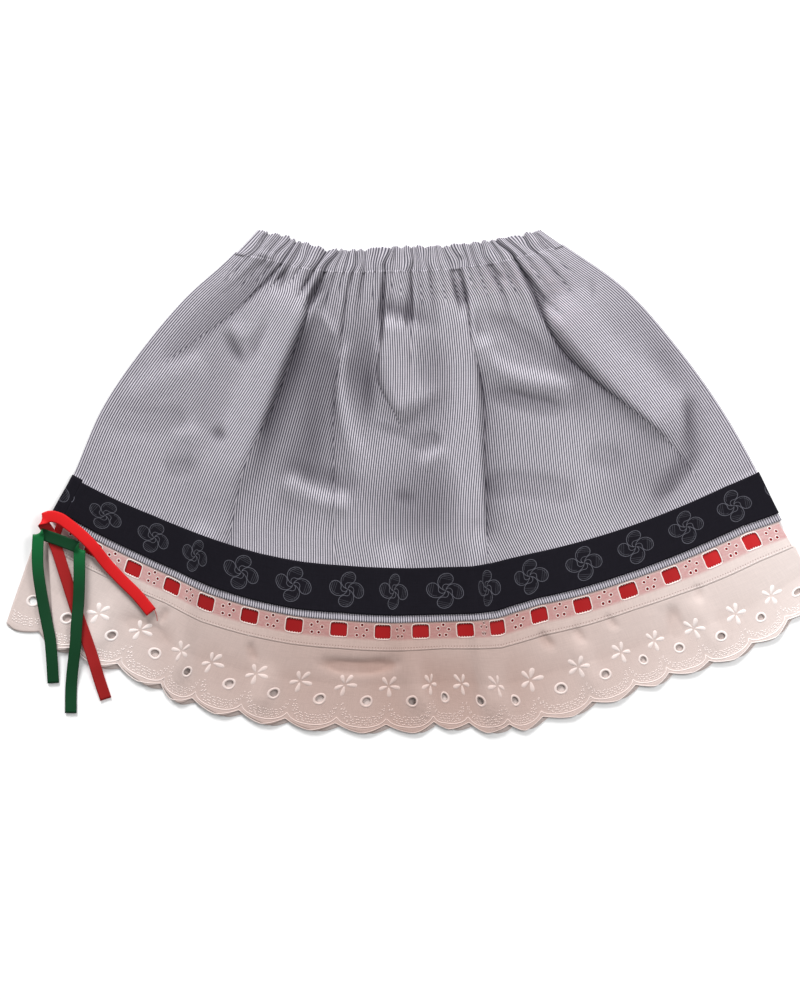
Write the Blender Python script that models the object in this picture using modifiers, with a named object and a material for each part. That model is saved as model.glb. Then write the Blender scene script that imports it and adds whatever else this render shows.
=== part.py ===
"""A child's folk costume skirt, laid flat with its front up.

The skirt is a striped cotton tube drawn in at the waist by elastic. Below it come a black tape band, a strip
of the hem, a beading lace with a ribbon behind it and an openwork flounce, and two ribbons are tied at the
left side.

Frame: metres, +Z up, +Y towards the waist, +X to the right. The origin lies on the surface that the skirt
rests on, under the middle of the front. Every table and function here is in millimetres, and the meshes are
scaled to metres as they are made.

Two coordinates name a place on the skirt: across runs from -1 at the left side fold to 1 at the right one,
and down is the length of cloth from the waist edge.
"""

import math

import bmesh
import bpy
import numpy as np

MM = 0.001
WALL = 1.0
GAP = 0.3
LOWER_SIDE = WALL + GAP

# Lengths of cloth down from the waist edge.
CASING_SEAM = 20.0
BAND_TOP = 265.6
BAND_BOTTOM = 304.7
HEM_EDGE = 310.4
WINDOW_TOP = 313.2
WINDOW_BOTTOM = 322.8
FLOUNCE_SEAM = 333.7
EYELET_LINE = 376.0
CUSP_LINE = 395.0

# The garment's outline and its rows, as they lie on the table.
PLAN = (
    # down, left x, left y, middle y, right x, right y
    (0.0, -121.2, 215.0, 200.9, 117.9, 215.0),
    (CASING_SEAM, -139.4, 195.9, 180.9, 134.5, 202.5),
    (81.4, -180.9, 157.7, 119.5, 182.6, 166.0),
    (142.8, -218.3, 112.9, 58.1, 224.9, 118.7),
    (204.2, -249.8, 65.6, -3.3, 261.5, 68.1),
    (BAND_TOP, -273.9, 10.0, -64.7, 292.2, 14.1),
    (BAND_BOTTOM, -288.0, -16.6, -103.8, 313.7, -19.9),
    (HEM_EDGE, -290.5, -21.6, -109.6, 316.2, -25.7),
    (FLOUNCE_SEAM, -299.6, -44.0, -132.8, 327.0, -46.5),
    (CUSP_LINE, -327.9, -104.6, -194.2, 338.6, -91.3),
)

# Height of each layer's lower face.
LEVELS = (
    # down, back, front
    (0.0, 0.0, 4.0),
    (CASING_SEAM, 0.0, 5.2),
    (60.0, 0.0, 3.6),
    (110.0, 0.0, 2.5),
    (240.0, 0.0, 2.5),
    (BAND_TOP - 5.0, 0.0, 2.8),
    (BAND_TOP, LOWER_SIDE, 3.0),
    (BAND_BOTTOM, LOWER_SIDE, 3.6),
    (HEM_EDGE, LOWER_SIDE, 4.3),
    (HEM_EDGE + GAP, 0.0, 4.3),
    (FLOUNCE_SEAM, 0.0, 4.3),
    (362.0, 0.0, 2.0),
    (CUSP_LINE, 0.0, 1.7),
    (CUSP_LINE + 10.0, 0.0, 1.7),
)

# Ridges and, with a negative height, troughs of the front. Left and right are as one walks down the fold.
FOLDS = (
    # name, top x, y, middle x, y, bottom x, y, height at top, at bottom, reach to the left, to the right
    ("left ridge", -73, 169, -111, 87, -143, -20, 10.0, 6.0, 8, 28),
    ("thin ridge", -46, 129, -51, 75, -30, 8, 3.0, 3.0, 7, 7),
    ("centre ridge", -7, 152, -13, 100, 7, 54, 8.0, 6.0, 26, 8),
    ("centre crease", 4, 193, 4, 158, 2, 129, -4.0, -3.0, 4, 4),
    ("gather left of centre", -15, 193, -17, 158, -22, 129, -5.0, -4.0, 5, 5),
    ("long pleat", 55, 165, 58, 75, 66, -75, 4.0, 5.0, 5, 20),
    ("crescent", 68, 133, 84, 98, 154, 86, 5.0, 4.0, 8, 10),
    ("right ridge", 112, 158, 168, 94, 232, 38, 9.0, 7.0, 30, 8),
    ("gather right of centre", 45, 195, 46, 176, 49, 155, -4.0, -3.0, 5, 5),
    ("right dimple", 232, 80, 239, 37, 200, -10, -3.0, -2.5, 7, 7),
    ("left trough", -106, 190, -151, 153, -202, 100, -4.5, -2.5, 10, 9),
    ("left swell", -235, 75, -200, 92, -160, 108, 2.5, 2.0, 12, 12),
    ("left hollow", -250, 62, -215, 57, -175, 56, -2.0, -2.0, 11, 11),
    ("low cup", -104, 14, -71, -8, -40, -12, 3.5, 3.5, 9, 9),
    ("low trough", 66, 2, 105, 3, 146, -6, -2.5, -2.0, 9, 9),
    ("left tuck", -166, -22, -178, -90, -188, -172, 3.0, 4.0, 10, 7),
    ("middle tuck", -6, -40, -3, -116, 23, -200, 3.0, 4.0, 8, 12),
    ("right tuck", 66, -30, 61, -112, 82, -205, 5.0, 6.0, 14, 7),
)
FOLD_STATIONS = 33
FOLD_FADE = 0.18

GATHERS = 30
COLUMNS = 2 * GATHERS
FRONT_ROWS = 10
BACK_ROWS = 5
ROW_CROWDING = 1.3
FINE_GATHER = 1.5
BROAD_GATHER = 1.8
BACK_GATHER = 0.5
BACK_GATHER_RUN = 70.0
FINE_FADE = 14.0
BROAD_FADE = 34.0
ROLL_POWER = 12
STEEPEST = 0.5

CASING_THICKNESS = 2.6
CASING_RUFFLE = 1.2
RUFFLED_EDGE = 0.9
BAND_END_STEP = 5.0

# Cloth taken up by the tucks that cross the trims: place across, length taken up, half width across.
TUCKS = ((-0.60, 7.0, 0.03), (-0.02, 6.0, 0.03), (0.215, 11.0, 0.02))
LACE_PITCH = 36.5
WINDOW_WIDTH = 12.5
FIRST_WINDOW = -0.882
FRONT_WINDOWS = 17
BEADING_SIDES = (-0.985, 0.995)
RIBBON_WIDTH = 10.0
FIRST_EYELET = -0.874
EYELETS = range(-1, 19)
EYELET_BLOCK = 14.0
EYELET_RADIUS = 3.2
SCALLOP_DEPTH = 6.0
LEAST_COLUMN = 4.0

# The flounce's left side, at its seam and at its edge. The back flounce comes out from under the front one.
BACK_FLOUNCE_LEFT = (-1.0, -1.0)
FRONT_FLOUNCE_LEFT = (-0.985, -0.885)

# The ribbon ties: centre of the ribbon along its length. A fold turns the ribbon over.
TIE_RED = (
    # x, y, z, corner
    (-209.2, -101.3, 5.8, "end"),
    (-220.0, -88.0, 6.6, "bend"),
    (-234.9, -73.0, 7.0, "bend"),
    (-244.9, -62.3, 8.0, "bend"),
    (-257.3, -46.5, 10.8, "bend"),
    (-267.3, -36.5, 11.0, "bend"),
    (-276.4, -29.1, 10.6, "bend"),
    (-285.5, -23.2, 10.2, "bend"),
    (-293.8, -22.0, 10.0, "bend"),
    (-300.5, -24.9, 10.0, "fold"),
    (-291.3, -39.2, 6.3, "bend"),
    (-288.4, -46.5, 6.3, "bend"),
    (-282.2, -65.6, 6.1, "bend"),
    (-270.0, -103.8, 4.8, "bend"),
    (-259.0, -135.7, 4.2, "bend"),
    (-256.0, -145.5, 4.0, "bend"),
    (-252.5, -157.5, 2.6, "bend"),
    (-247.3, -173.5, 0.9, "end"),
)
TIE_GREEN = (
    (-290.9, -160.2, 0.9, "end"),
    (-292.0, -137.0, 3.6, "bend"),
    (-293.0, -125.0, 4.2, "bend"),
    (-297.1, -103.8, 4.3, "bend"),
    (-300.5, -84.7, 5.0, "bend"),
    (-302.9, -65.6, 7.0, "bend"),
    (-302.9, -46.0, 9.0, "bend"),
    (-302.1, -35.7, 9.4, "fold"),
    (-284.0, -42.0, 7.8, "bend"),
    (-268.1, -48.1, 8.8, "fold"),
    (-268.3, -58.0, 10.6, "bend"),
    (-268.5, -72.2, 9.2, "bend"),
    (-269.3, -91.3, 7.2, "bend"),
    (-271.0, -112.0, 6.9, "bend"),
    (-272.2, -129.5, 5.6, "bend"),
    (-274.6, -148.0, 2.8, "bend"),
    (-276.0, -162.0, 0.9, "bend"),
    (-276.4, -185.1, 0.9, "end"),
)
TIE_WIDTH = 9.7
TIE_STATION = 9.0
FOLD_STEPS = 4


def smooth_through(stations, values, at):
    """A smooth curve through the values at the stations, read at the given places."""
    stations = np.asarray(stations, float)
    values = np.asarray(values, float).reshape(len(stations), -1)
    at = np.asarray(at, float)
    slopes = np.gradient(values, stations, axis=0)
    i = np.clip(np.searchsorted(stations, at) - 1, 0, len(stations) - 2)
    step = (stations[i + 1] - stations[i])[..., None]
    t = ((at - stations[i]) / step[..., 0])[..., None]
    return (
        (2 * t**3 - 3 * t**2 + 1) * values[i]
        + (t**3 - 2 * t**2 + t) * step * slopes[i]
        + (3 * t**2 - 2 * t**3) * values[i + 1]
        + (t**3 - t**2) * step * slopes[i + 1]
    )


def smooth_step(t):
    t = np.clip(t, 0.0, 1.0)
    return t * t * (3.0 - 2.0 * t)


def plan(across, down):
    """Where a place on the skirt lies on the table."""
    across, down = np.broadcast_arrays(np.asarray(across, float), np.asarray(down, float))
    rows = smooth_through([row[0] for row in PLAN], [row[1:] for row in PLAN], down)
    left_x, left_y, middle_y, right_x, right_y = np.moveaxis(rows, -1, 0)
    x = across * np.where(across < 0, -left_x, right_x)
    side_y = np.where(across < 0, left_y, right_y)
    return x, middle_y + (side_y - middle_y) * across**2


def fold_path(fold):
    """Points along a fold's crest, which runs through its three named points."""
    top, middle, bottom = (np.array(fold[k : k + 2], float) for k in (1, 3, 5))
    control = 2 * middle - (top + bottom) / 2
    t = np.linspace(0, 1, FOLD_STATIONS)[:, None]
    return (1 - t) ** 2 * top + 2 * t * (1 - t) * control + t**2 * bottom


def fold_height(fold, x, y):
    """How far one fold lifts the front at the given places."""
    height_top, height_bottom, reach_left, reach_right = fold[7:]
    path = fold_path(fold)
    heading = np.gradient(path, axis=0)
    off_x = x[..., None] - path[:, 0]
    off_y = y[..., None] - path[:, 1]
    near = np.argmin(off_x**2 + off_y**2, axis=-1)
    to_x = np.take_along_axis(off_x, near[..., None], -1)[..., 0]
    to_y = np.take_along_axis(off_y, near[..., None], -1)[..., 0]
    on_left = heading[near, 0] * to_y - heading[near, 1] * to_x > 0
    reach = np.where(on_left, reach_left, reach_right)
    t = near / (FOLD_STATIONS - 1)
    ends = smooth_step(t / FOLD_FADE) * smooth_step((1 - t) / FOLD_FADE)
    height = height_top + (height_bottom - height_top) * t
    return height * ends * np.exp(-(to_x**2 + to_y**2) / reach**2)


def gathers(across, down):
    """The elastic's ruffles: fine ones that die out below the seam, and broad ones that run further."""
    turns = (across + 1) / 2 * GATHERS * 2 * math.pi
    below = np.maximum(down - CASING_SEAM, 0)
    uneven = 0.8 + 0.2 * np.sin(5.1 * across + 1.3) + 0.15 * np.sin(17.0 * across)
    fine = FINE_GATHER * np.exp(-below / FINE_FADE) * np.cos(turns)
    broad = BROAD_GATHER * np.exp(-below / BROAD_FADE) * np.cos(turns / 2 + 0.6)
    return (fine + broad) * uneven * (1 - across**8)


def back_under(across, down):
    """Height of the back's lower face. It lies flat but for the gathers at the waist."""
    level = np.interp(down, [row[0] for row in LEVELS], [row[1] for row in LEVELS])
    lift = BACK_GATHER * (gathers(across, down) / (FINE_GATHER + BROAD_GATHER) + 1)
    fade = 1 - smooth_step((down - CASING_SEAM) / BACK_GATHER_RUN)
    return level + lift * fade * (1 - across**8)


def front_under(across, down):
    """Height of the front's lower face: its level, gathers and folds, rolled down to the back at the sides."""
    x, y = plan(across, down)
    level = np.interp(down, [row[0] for row in LEVELS], [row[2] for row in LEVELS])
    height = level + gathers(across, down) + sum(fold_height(fold, x, y) for fold in FOLDS)
    clear = back_under(across, down) + WALL / 0.8 + GAP
    at_trims = smooth_step((down - BAND_TOP) / (HEM_EDGE - BAND_TOP))
    roll = 1 - (1 - at_trims) * across**ROLL_POWER
    return np.maximum(clear + (height - clear) * roll, clear)


def under_points(across, down, height):
    """Points of a lower face, a row for each length down and a column for each place across."""
    across, down = np.broadcast_arrays(across, down)
    x, y = plan(across, down)
    return np.stack([x, y, height(across, down)], axis=-1)


def raised(points, by):
    return points + np.array([0.0, 0.0, 1.0]) * np.asarray(by)[..., None]


def wall_rise(points, wall=WALL):
    """The upright height of a wall of even thickness, which is more where the cloth is steep."""
    one = points[1:, 1:] - points[:-1, :-1]
    other = points[1:, :-1] - points[:-1, 1:]
    normal = np.cross(one, other)
    upright = np.abs(normal[..., 2]) / np.linalg.norm(normal, axis=-1)
    padded = np.pad(upright, 1, mode="edge")
    around = [padded[:-1, :-1], padded[1:, :-1], padded[:-1, 1:], padded[1:, 1:]]
    return wall / np.maximum(np.min(around, axis=0), STEEPEST)


def cut_windows(bm, cells, columns):
    """Removes the named cells of a grid, each given by its row and column, counted from its first corner."""
    doomed = [bm.faces[row * (columns - 1) + column] for row, column in cells]
    bmesh.ops.delete(bm, geom=doomed, context="FACES_ONLY")


def cut_eyelets(bm, centres, rise, radius):
    """Opens a round hole at each named point of a grid."""
    for vertex in centres:
        middle = vertex.co.copy()
        lift = vertex[rise]
        corners = {corner for face in vertex.link_faces for corner in face.verts} - {vertex}
        bmesh.ops.dissolve_verts(bm, verts=[vertex])
        block = next(face for face in bm.faces if set(face.verts) == corners)
        bmesh.ops.inset_individual(bm, faces=[block], thickness=radius * MM / 4)
        for corner in block.verts:
            reach = (corner.co - middle).xy.length
            corner.co = middle + (corner.co - middle) * (radius * MM / reach)
            corner[rise] = lift
        bmesh.ops.delete(bm, geom=[block], context="FACES_ONLY")


def grid_wall(name, under, rise_values, material, windows=(), eyelets=(), radius=EYELET_RADIUS):
    """A cloth wall: a grid laid on the lower points, with its holes cut, extruded upwards by the rise."""
    rows, columns = under.shape[:2]
    bm = bmesh.new()
    bmesh.ops.create_grid(bm, x_segments=columns - 1, y_segments=rows - 1, size=1)
    bm.verts.ensure_lookup_table()
    bm.faces.ensure_lookup_table()
    rise = bm.verts.layers.float.new("rise")
    for vertex, point, lift in zip(bm.verts, under.reshape(-1, 3), rise_values.reshape(-1)):
        vertex.co = point * MM
        vertex[rise] = lift * MM
    centres = [bm.verts[row * columns + column] for row, column in eyelets]
    cut_windows(bm, windows, columns)
    cut_eyelets(bm, centres, rise, radius)
    bmesh.ops.triangulate(bm, faces=bm.faces[:], quad_method="FIXED")
    grown = bmesh.ops.extrude_face_region(bm, geom=bm.faces[:])
    for part in grown["geom"]:
        if isinstance(part, bmesh.types.BMVert):
            part.co.z += part[rise]
    bmesh.ops.recalc_face_normals(bm, faces=bm.faces[:])
    mesh = bpy.data.meshes.new(name)
    bm.to_mesh(mesh)
    bm.free()
    return placed(name, mesh, material)


def placed(name, mesh, material):
    mesh.materials.append(material)
    mesh.shade_smooth()
    mesh.set_sharp_from_angle(angle=math.radians(40))
    piece = bpy.data.objects.new(name, mesh)
    SKIRT.objects.link(piece)
    return piece


def cloth_material(name, colour, roughness):
    material = bpy.data.materials.new(name)
    material.use_nodes = True
    shader = material.node_tree.nodes["Principled BSDF"]
    shader.inputs["Base Color"].default_value = (*colour, 1.0)
    shader.inputs["Roughness"].default_value = roughness
    shader.inputs["Metallic"].default_value = 0.0
    return material


def panel_downs(count):
    """The rows of a panel, closer together near the waist, where the gathers are."""
    first = CASING_SEAM + GAP
    last = BAND_TOP - BAND_END_STEP
    rows = first + (last - first) * np.linspace(0, 1, count + 1) ** ROW_CROWDING
    return np.concatenate([rows, [BAND_TOP, BAND_BOTTOM, HEM_EDGE]])[:, None]


def build_panels(striped):
    """The back panel, then the front panel. Returns both panels' points and rises, for what is sewn on them."""
    across = np.linspace(-1, 1, COLUMNS + 1)[None, :]
    back = under_points(across, panel_downs(BACK_ROWS), back_under)
    grid_wall("back_panel", back, wall_rise(back), striped)
    front = under_points(across, panel_downs(FRONT_ROWS), front_under)
    grid_wall("front_panel", front, wall_rise(front), striped)
    return front, wall_rise(front)


def build_casing(name, level, striped):
    """One side of the elastic casing: plain inside, ruffled outside and along its edge."""
    across = np.linspace(-1, 1, COLUMNS + 1)[None, :]
    down = np.array([0.0, CASING_SEAM / 2, CASING_SEAM])[:, None]
    ruffle = np.cos((across + 1) * math.pi * GATHERS) * (1 - across**8)
    edge = -RUFFLED_EDGE * ruffle * (down == 0)
    under = under_points(across, down + edge, lambda a, d: np.full(a.shape, level))
    crown = 1 - 0.25 * (np.abs(down / CASING_SEAM - 0.5) * 2) ** 2
    uneven = 1 + 0.3 * np.sin(9.0 * across + level)
    rise = CASING_THICKNESS * crown + CASING_RUFFLE * ruffle * uneven * crown
    sides = smooth_step((1 - np.abs(across)) / 0.05)
    grid_wall(name, under, rise * (0.55 + 0.45 * sides), striped)


def build_bands(front, front_rise, tape):
    """The tape round the skirt: a front length, a back length and the back's end, lapped at the left side."""
    across = np.linspace(-1, 1, COLUMNS + 1)[None, :]
    down = np.array([BAND_TOP, BAND_BOTTOM])[:, None]
    back = under_points(across, down, lambda a, d: np.zeros(a.shape))
    grid_wall("band_back", back, np.full(back.shape[:2], WALL), tape)
    outer = raised(front, front_rise + GAP)
    band = outer[-3:-1, 1:]
    grid_wall("band_front", band, wall_rise(band), tape)
    end = outer[-4:-1, :2].copy()
    end[:, 1] += (end[:, 0] - end[:, 1]) * GAP / np.linalg.norm(end[:, 0] - end[:, 1], axis=-1)[:, None]
    grid_wall("band_end", end, wall_rise(end), tape)


def cloth_along(down):
    """Places across one row, and the length of cloth from the left side fold to each."""
    across = np.linspace(-1, 1, 1201)
    x, y = plan(across, down)
    length = np.concatenate([[0], np.cumsum(np.hypot(np.diff(x), np.diff(y)))])
    for place, taken, half in TUCKS:
        length += taken * smooth_step((across - place) / (2 * half) + 0.5)
    return across, length


def repeats(first, count, down, offsets):
    """Places across for a lace repeat: each of its offsets, in millimetres, round every repeat's centre."""
    across, length = cloth_along(down)
    start = np.interp(first, across, length)
    wanted = start + LACE_PITCH * np.arange(count)[:, None] + np.asarray(offsets)[None, :]
    return np.interp(wanted.reshape(-1), length, across)


def beading_columns(first, count, sides):
    """The beading's columns, two at each window, and the cells that are its windows."""
    half = WINDOW_WIDTH / 2
    places = repeats(first, count, (WINDOW_TOP + WINDOW_BOTTOM) / 2, (-half, half))
    places = np.concatenate([[sides[0]], places, [sides[1]]])
    return places[None, :], [(1, 1 + 2 * k) for k in range(count)]


def build_beading(lace, satin):
    """The beading lace and the ribbon behind it, on the back and on the front."""
    down = np.array([HEM_EDGE + GAP, WINDOW_TOP, WINDOW_BOTTOM, FLOUNCE_SEAM - GAP])[:, None]
    middle = (WINDOW_TOP + WINDOW_BOTTOM) / 2
    ribbon_down = np.array([middle - RIBBON_WIDTH / 2, middle + RIBBON_WIDTH / 2])[:, None]
    across, windows = beading_columns(FIRST_WINDOW, FRONT_WINDOWS, BEADING_SIDES)

    lying = under_points(across, down, lambda a, d: np.zeros(a.shape))
    grid_wall("beading_back", lying, np.full(lying.shape[:2], WALL), lace, windows=windows)
    lying = under_points(across, ribbon_down, lambda a, d: np.full(a.shape, LOWER_SIDE))
    grid_wall("beading_ribbon_back", lying, np.full(lying.shape[:2], WALL), satin)

    upper = under_points(across, down, front_under)
    grid_wall("beading_front", upper, wall_rise(upper), lace, windows=windows)
    behind = under_points(across, ribbon_down, lambda a, d: front_under(a, d) - WALL / 0.75 - GAP)
    grid_wall("beading_ribbon_front", behind, np.full(behind.shape[:2], WALL), satin)


def scallop(turns):
    """How far the edge hangs below the cusps, where whole turns are the eyelets' middles."""
    off = turns - np.round(turns)
    return SCALLOP_DEPTH * np.sqrt(1 - (2 * off) ** 2)


def flounce_grid(left):
    """The flounce's places: four columns a scallop, with a square of cells round each eyelet."""
    half = EYELET_BLOCK / 2
    down = np.array([FLOUNCE_SEAM + GAP, EYELET_LINE - half, EYELET_LINE, EYELET_LINE + half, CUSP_LINE])
    side = left[0] + (left[1] - left[0]) * (down - FLOUNCE_SEAM) / (CUSP_LINE - FLOUNCE_SEAM)
    scale, length = cloth_along(EYELET_LINE)
    start = np.interp(FIRST_EYELET, scale, length)
    offsets = np.array([-LACE_PITCH / 2, -half, 0.0, half])
    wanted = (start + LACE_PITCH * np.array(EYELETS)[:, None] + offsets).reshape(-1)
    first = np.interp(side[2], scale, length) + LEAST_COLUMN
    kept = (wanted > first) & (wanted < length[-1] - LEAST_COLUMN)
    whole = np.convolve(kept, np.ones(3), mode="same") == 3
    middles = np.tile(offsets == 0, len(EYELETS))
    numbers = np.cumsum(kept)
    eyelets = [(2, int(number)) for number in numbers[kept & whole & middles]]
    places = np.interp(wanted[kept], length, scale)
    across = np.concatenate([[left[1]], places, [1.0]])
    edge = scallop((np.interp(across, scale, length) - start) / LACE_PITCH)
    across = np.repeat(across[None, :], len(down), axis=0)
    across[:, 0] = side
    least = side[:, None] + LEAST_COLUMN / length[-1] * np.arange(across.shape[1])
    across = np.maximum(across, np.minimum(least, 1.0))
    down = np.repeat(down[:, None], across.shape[1], axis=1)
    down[-1] += edge
    return across, down, eyelets


def build_flounces(lace):
    """The openwork flounce. The back one comes round the left side, where the front one laps over it."""
    across, down, eyelets = flounce_grid(BACK_FLOUNCE_LEFT)
    lying = under_points(across, down, lambda a, d: np.zeros(a.shape))
    grid_wall("flounce_back", lying, np.full(lying.shape[:2], WALL), lace, eyelets=eyelets)
    across, down, eyelets = flounce_grid(FRONT_FLOUNCE_LEFT)
    upper = under_points(across, down, front_under)
    grid_wall("flounce_front", upper, wall_rise(upper), lace, eyelets=eyelets)


def unit(vector):
    return vector / np.linalg.norm(vector)


def tie_legs(rows):
    """Splits a tie at its folds into legs. Each leg keeps its end points."""
    legs = [[]]
    for x, y, z, corner in rows:
        legs[-1].append(np.array([x, y, z]))
        if corner == "fold":
            legs.append([np.array([x, y, z])])
    return legs


def turn_over(corner, before, after, step, steps):
    """The stretch where a ribbon turns over: it rolls about the line that halves its two headings."""
    axis = unit(before + after)
    out = unit(before - after)
    radius = abs(step) / 2
    reach = math.pi * radius / (2 * before.dot(out))
    start = corner - before * reach
    advance = 2 * reach * before.dot(axis)
    upward = np.array([0.0, 0.0, 1.0 if step > 0 else -1.0])
    spin = upward[2] / (axis[0] * out[1] - axis[1] * out[0])
    stations = []
    for turn in np.linspace(0, math.pi, steps + 1):
        centre = start + axis * advance * turn / math.pi + out * radius * math.sin(turn)
        centre = centre + upward * radius * (1 - math.cos(turn))
        stations.append((centre, axis, turn * spin))
    return stations, reach


def spun(vector, axis, angle):
    along = axis * vector.dot(axis)
    return along + math.cos(angle) * (vector - along) + math.sin(angle) * np.cross(axis, vector)


def tie_stations(rows, spacing, fold_steps):
    """Centres of a ribbon tie and the directions of its width, from one free end to the other."""
    legs = tie_legs(rows)
    folds = []
    for leg, following in zip(legs, legs[1:]):
        step = following[1][2] - leg[-1][2]
        before = unit((leg[-1] - leg[-2]) * (1, 1, 0))
        after = unit((following[1] - leg[-1]) * (1, 1, 0))
        stations, reach = turn_over(leg[-1], before, after, step, fold_steps)
        folds.append(stations)
        leg[-1] = stations[0][0]
        following[0] = stations[-1][0]
    centres, widths, side = [], [], 1.0
    for k, leg in enumerate(legs):
        points = np.array(leg)
        length = np.concatenate([[0], np.cumsum(np.linalg.norm(np.diff(points, axis=0), axis=1))])
        count = max(2, round(length[-1] / spacing)) + 1
        curve = smooth_through(length, points, np.linspace(0, length[-1], count))
        heading = np.gradient(curve, axis=0)
        for point, ahead in zip(curve, heading):
            centres.append(point)
            widths.append(side * unit(np.array([-ahead[1], ahead[0], 0.0])))
        if k < len(folds):
            start_width = widths[-1]
            for centre, axis, angle in folds[k][1:-1]:
                centres.append(centre)
                widths.append(spun(start_width, axis, angle))
            side = -side
    return np.array(centres), np.array(widths)


def build_tie(name, rows, satin):
    """A ribbon tie: a strip along its stations, thickened both ways."""
    centres, widths = tie_stations(rows, TIE_STATION, FOLD_STEPS)
    bm = bmesh.new()
    bmesh.ops.create_grid(bm, x_segments=1, y_segments=len(centres) - 1, size=1)
    bm.verts.ensure_lookup_table()
    for k, (centre, width) in enumerate(zip(centres, widths)):
        bm.verts[2 * k].co = (centre + width * TIE_WIDTH / 2) * MM
        bm.verts[2 * k + 1].co = (centre - width * TIE_WIDTH / 2) * MM
    bmesh.ops.recalc_face_normals(bm, faces=bm.faces[:])
    mesh = bpy.data.meshes.new(name)
    bm.to_mesh(mesh)
    bm.free()
    tie = placed(name, mesh, satin)
    shell = tie.modifiers.new("ribbon", "SOLIDIFY")
    shell.thickness = WALL * MM
    shell.offset = 0.0
    shell.use_even_offset = True


for leftover in list(bpy.data.objects):
    bpy.data.objects.remove(leftover, do_unlink=True)

SKIRT = bpy.data.collections.new("folk_skirt")
bpy.context.scene.collection.children.link(SKIRT)

striped_cotton = cloth_material("striped_cotton", (0.36, 0.34, 0.40), 0.85)
black_tape = cloth_material("black_tape", (0.022, 0.020, 0.027), 0.8)
white_lace = cloth_material("white_lace", (0.72, 0.62, 0.58), 0.8)
red_satin = cloth_material("red_satin", (0.55, 0.03, 0.03), 0.4)
green_satin = cloth_material("green_satin", (0.025, 0.09, 0.04), 0.4)

front_points, front_lift = build_panels(striped_cotton)
build_casing("waist_casing_back", 0.0, striped_cotton)
build_casing("waist_casing_front", CASING_THICKNESS + CASING_RUFFLE + 1.5, striped_cotton)
build_bands(front_points, front_lift, black_tape)
build_beading(white_lace, red_satin)
build_flounces(white_lace)
build_tie("tie_red", TIE_RED, red_satin)
build_tie("tie_green", TIE_GREEN, green_satin)
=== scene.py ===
"""The looks of a child's folk costume skirt that lies flat with its front up.

Striped cotton, black tape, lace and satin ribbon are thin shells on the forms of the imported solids, with the
smaller creases added, and the embroidery and stitches are laid on them as meshes of their own.

Lengths here are in millimetres, and each mesh is scaled to metres as it is made. Two coordinates name a place
on the skirt: across runs from -1 at the left side fold to 1 at the right one, and down is the length of cloth
from the waist edge. Points of cloth are kept as grids, a row for each length down.
"""

import math
from functools import partial, reduce

import bmesh
import bpy
import numpy as np
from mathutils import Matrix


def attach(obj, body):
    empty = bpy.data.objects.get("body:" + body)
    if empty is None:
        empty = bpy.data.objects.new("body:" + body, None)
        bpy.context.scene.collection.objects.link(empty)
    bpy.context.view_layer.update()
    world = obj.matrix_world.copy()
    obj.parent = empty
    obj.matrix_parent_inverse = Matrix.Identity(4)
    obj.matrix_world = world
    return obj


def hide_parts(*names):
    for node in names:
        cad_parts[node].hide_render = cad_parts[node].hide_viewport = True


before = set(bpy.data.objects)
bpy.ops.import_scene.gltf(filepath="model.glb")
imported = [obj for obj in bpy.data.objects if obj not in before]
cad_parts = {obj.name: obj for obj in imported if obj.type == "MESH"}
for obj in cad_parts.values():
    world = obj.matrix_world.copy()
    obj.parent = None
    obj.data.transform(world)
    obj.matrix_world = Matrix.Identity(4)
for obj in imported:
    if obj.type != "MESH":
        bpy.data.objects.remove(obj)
bpy.ops.object.select_all(action="DESELECT")
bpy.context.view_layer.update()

MM = 0.001
# The solids' thickness, measured upright on flat and on slanting cloth, and the gap between layers.
WALL = 1.0
SLANTED_WALL = WALL / 0.8
GAP = 0.3
LOWER_SIDE = WALL + GAP

# Lengths of cloth down from the waist edge.
CASING_SEAM = 20.0
BAND_TOP = 265.6
BAND_BOTTOM = 304.7
HEM_EDGE = 310.4
WINDOW_TOP = 312.2
WINDOW_BOTTOM = 323.8
FLOUNCE_SEAM = 333.7
EYELET_LINE = 376.0
CUSP_LINE = 395.0
BAND_MIDDLE = (BAND_TOP + BAND_BOTTOM) / 2
WINDOW_MIDDLE = (WINDOW_TOP + WINDOW_BOTTOM) / 2
BAND_END_ROWS = (BAND_TOP - 2.5, BAND_BOTTOM + 6.0)

# The garment's outline and its rows, as they lie on the table.
PLAN = (
    # down, left x, left y, middle y, right x, right y
    (0.0, -121.2, 215.0, 200.9, 113.5, 215.0),
    (CASING_SEAM, -139.4, 195.9, 180.9, 131.5, 202.5),
    (81.4, -180.9, 157.7, 119.5, 182.6, 166.0),
    (142.8, -218.3, 112.9, 58.1, 224.9, 118.7),
    (204.2, -249.8, 65.6, -3.3, 261.5, 68.1),
    (BAND_TOP, -273.9, 10.0, -64.7, 292.2, 14.1),
    (BAND_BOTTOM, -288.0, -16.6, -103.8, 308.5, -19.9),
    (HEM_EDGE, -290.5, -21.6, -109.6, 311.5, -25.7),
    (FLOUNCE_SEAM, -299.6, -44.0, -132.8, 324.0, -46.5),
    (CUSP_LINE, -327.9, -104.6, -194.2, 338.6, -91.3),
)

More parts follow.
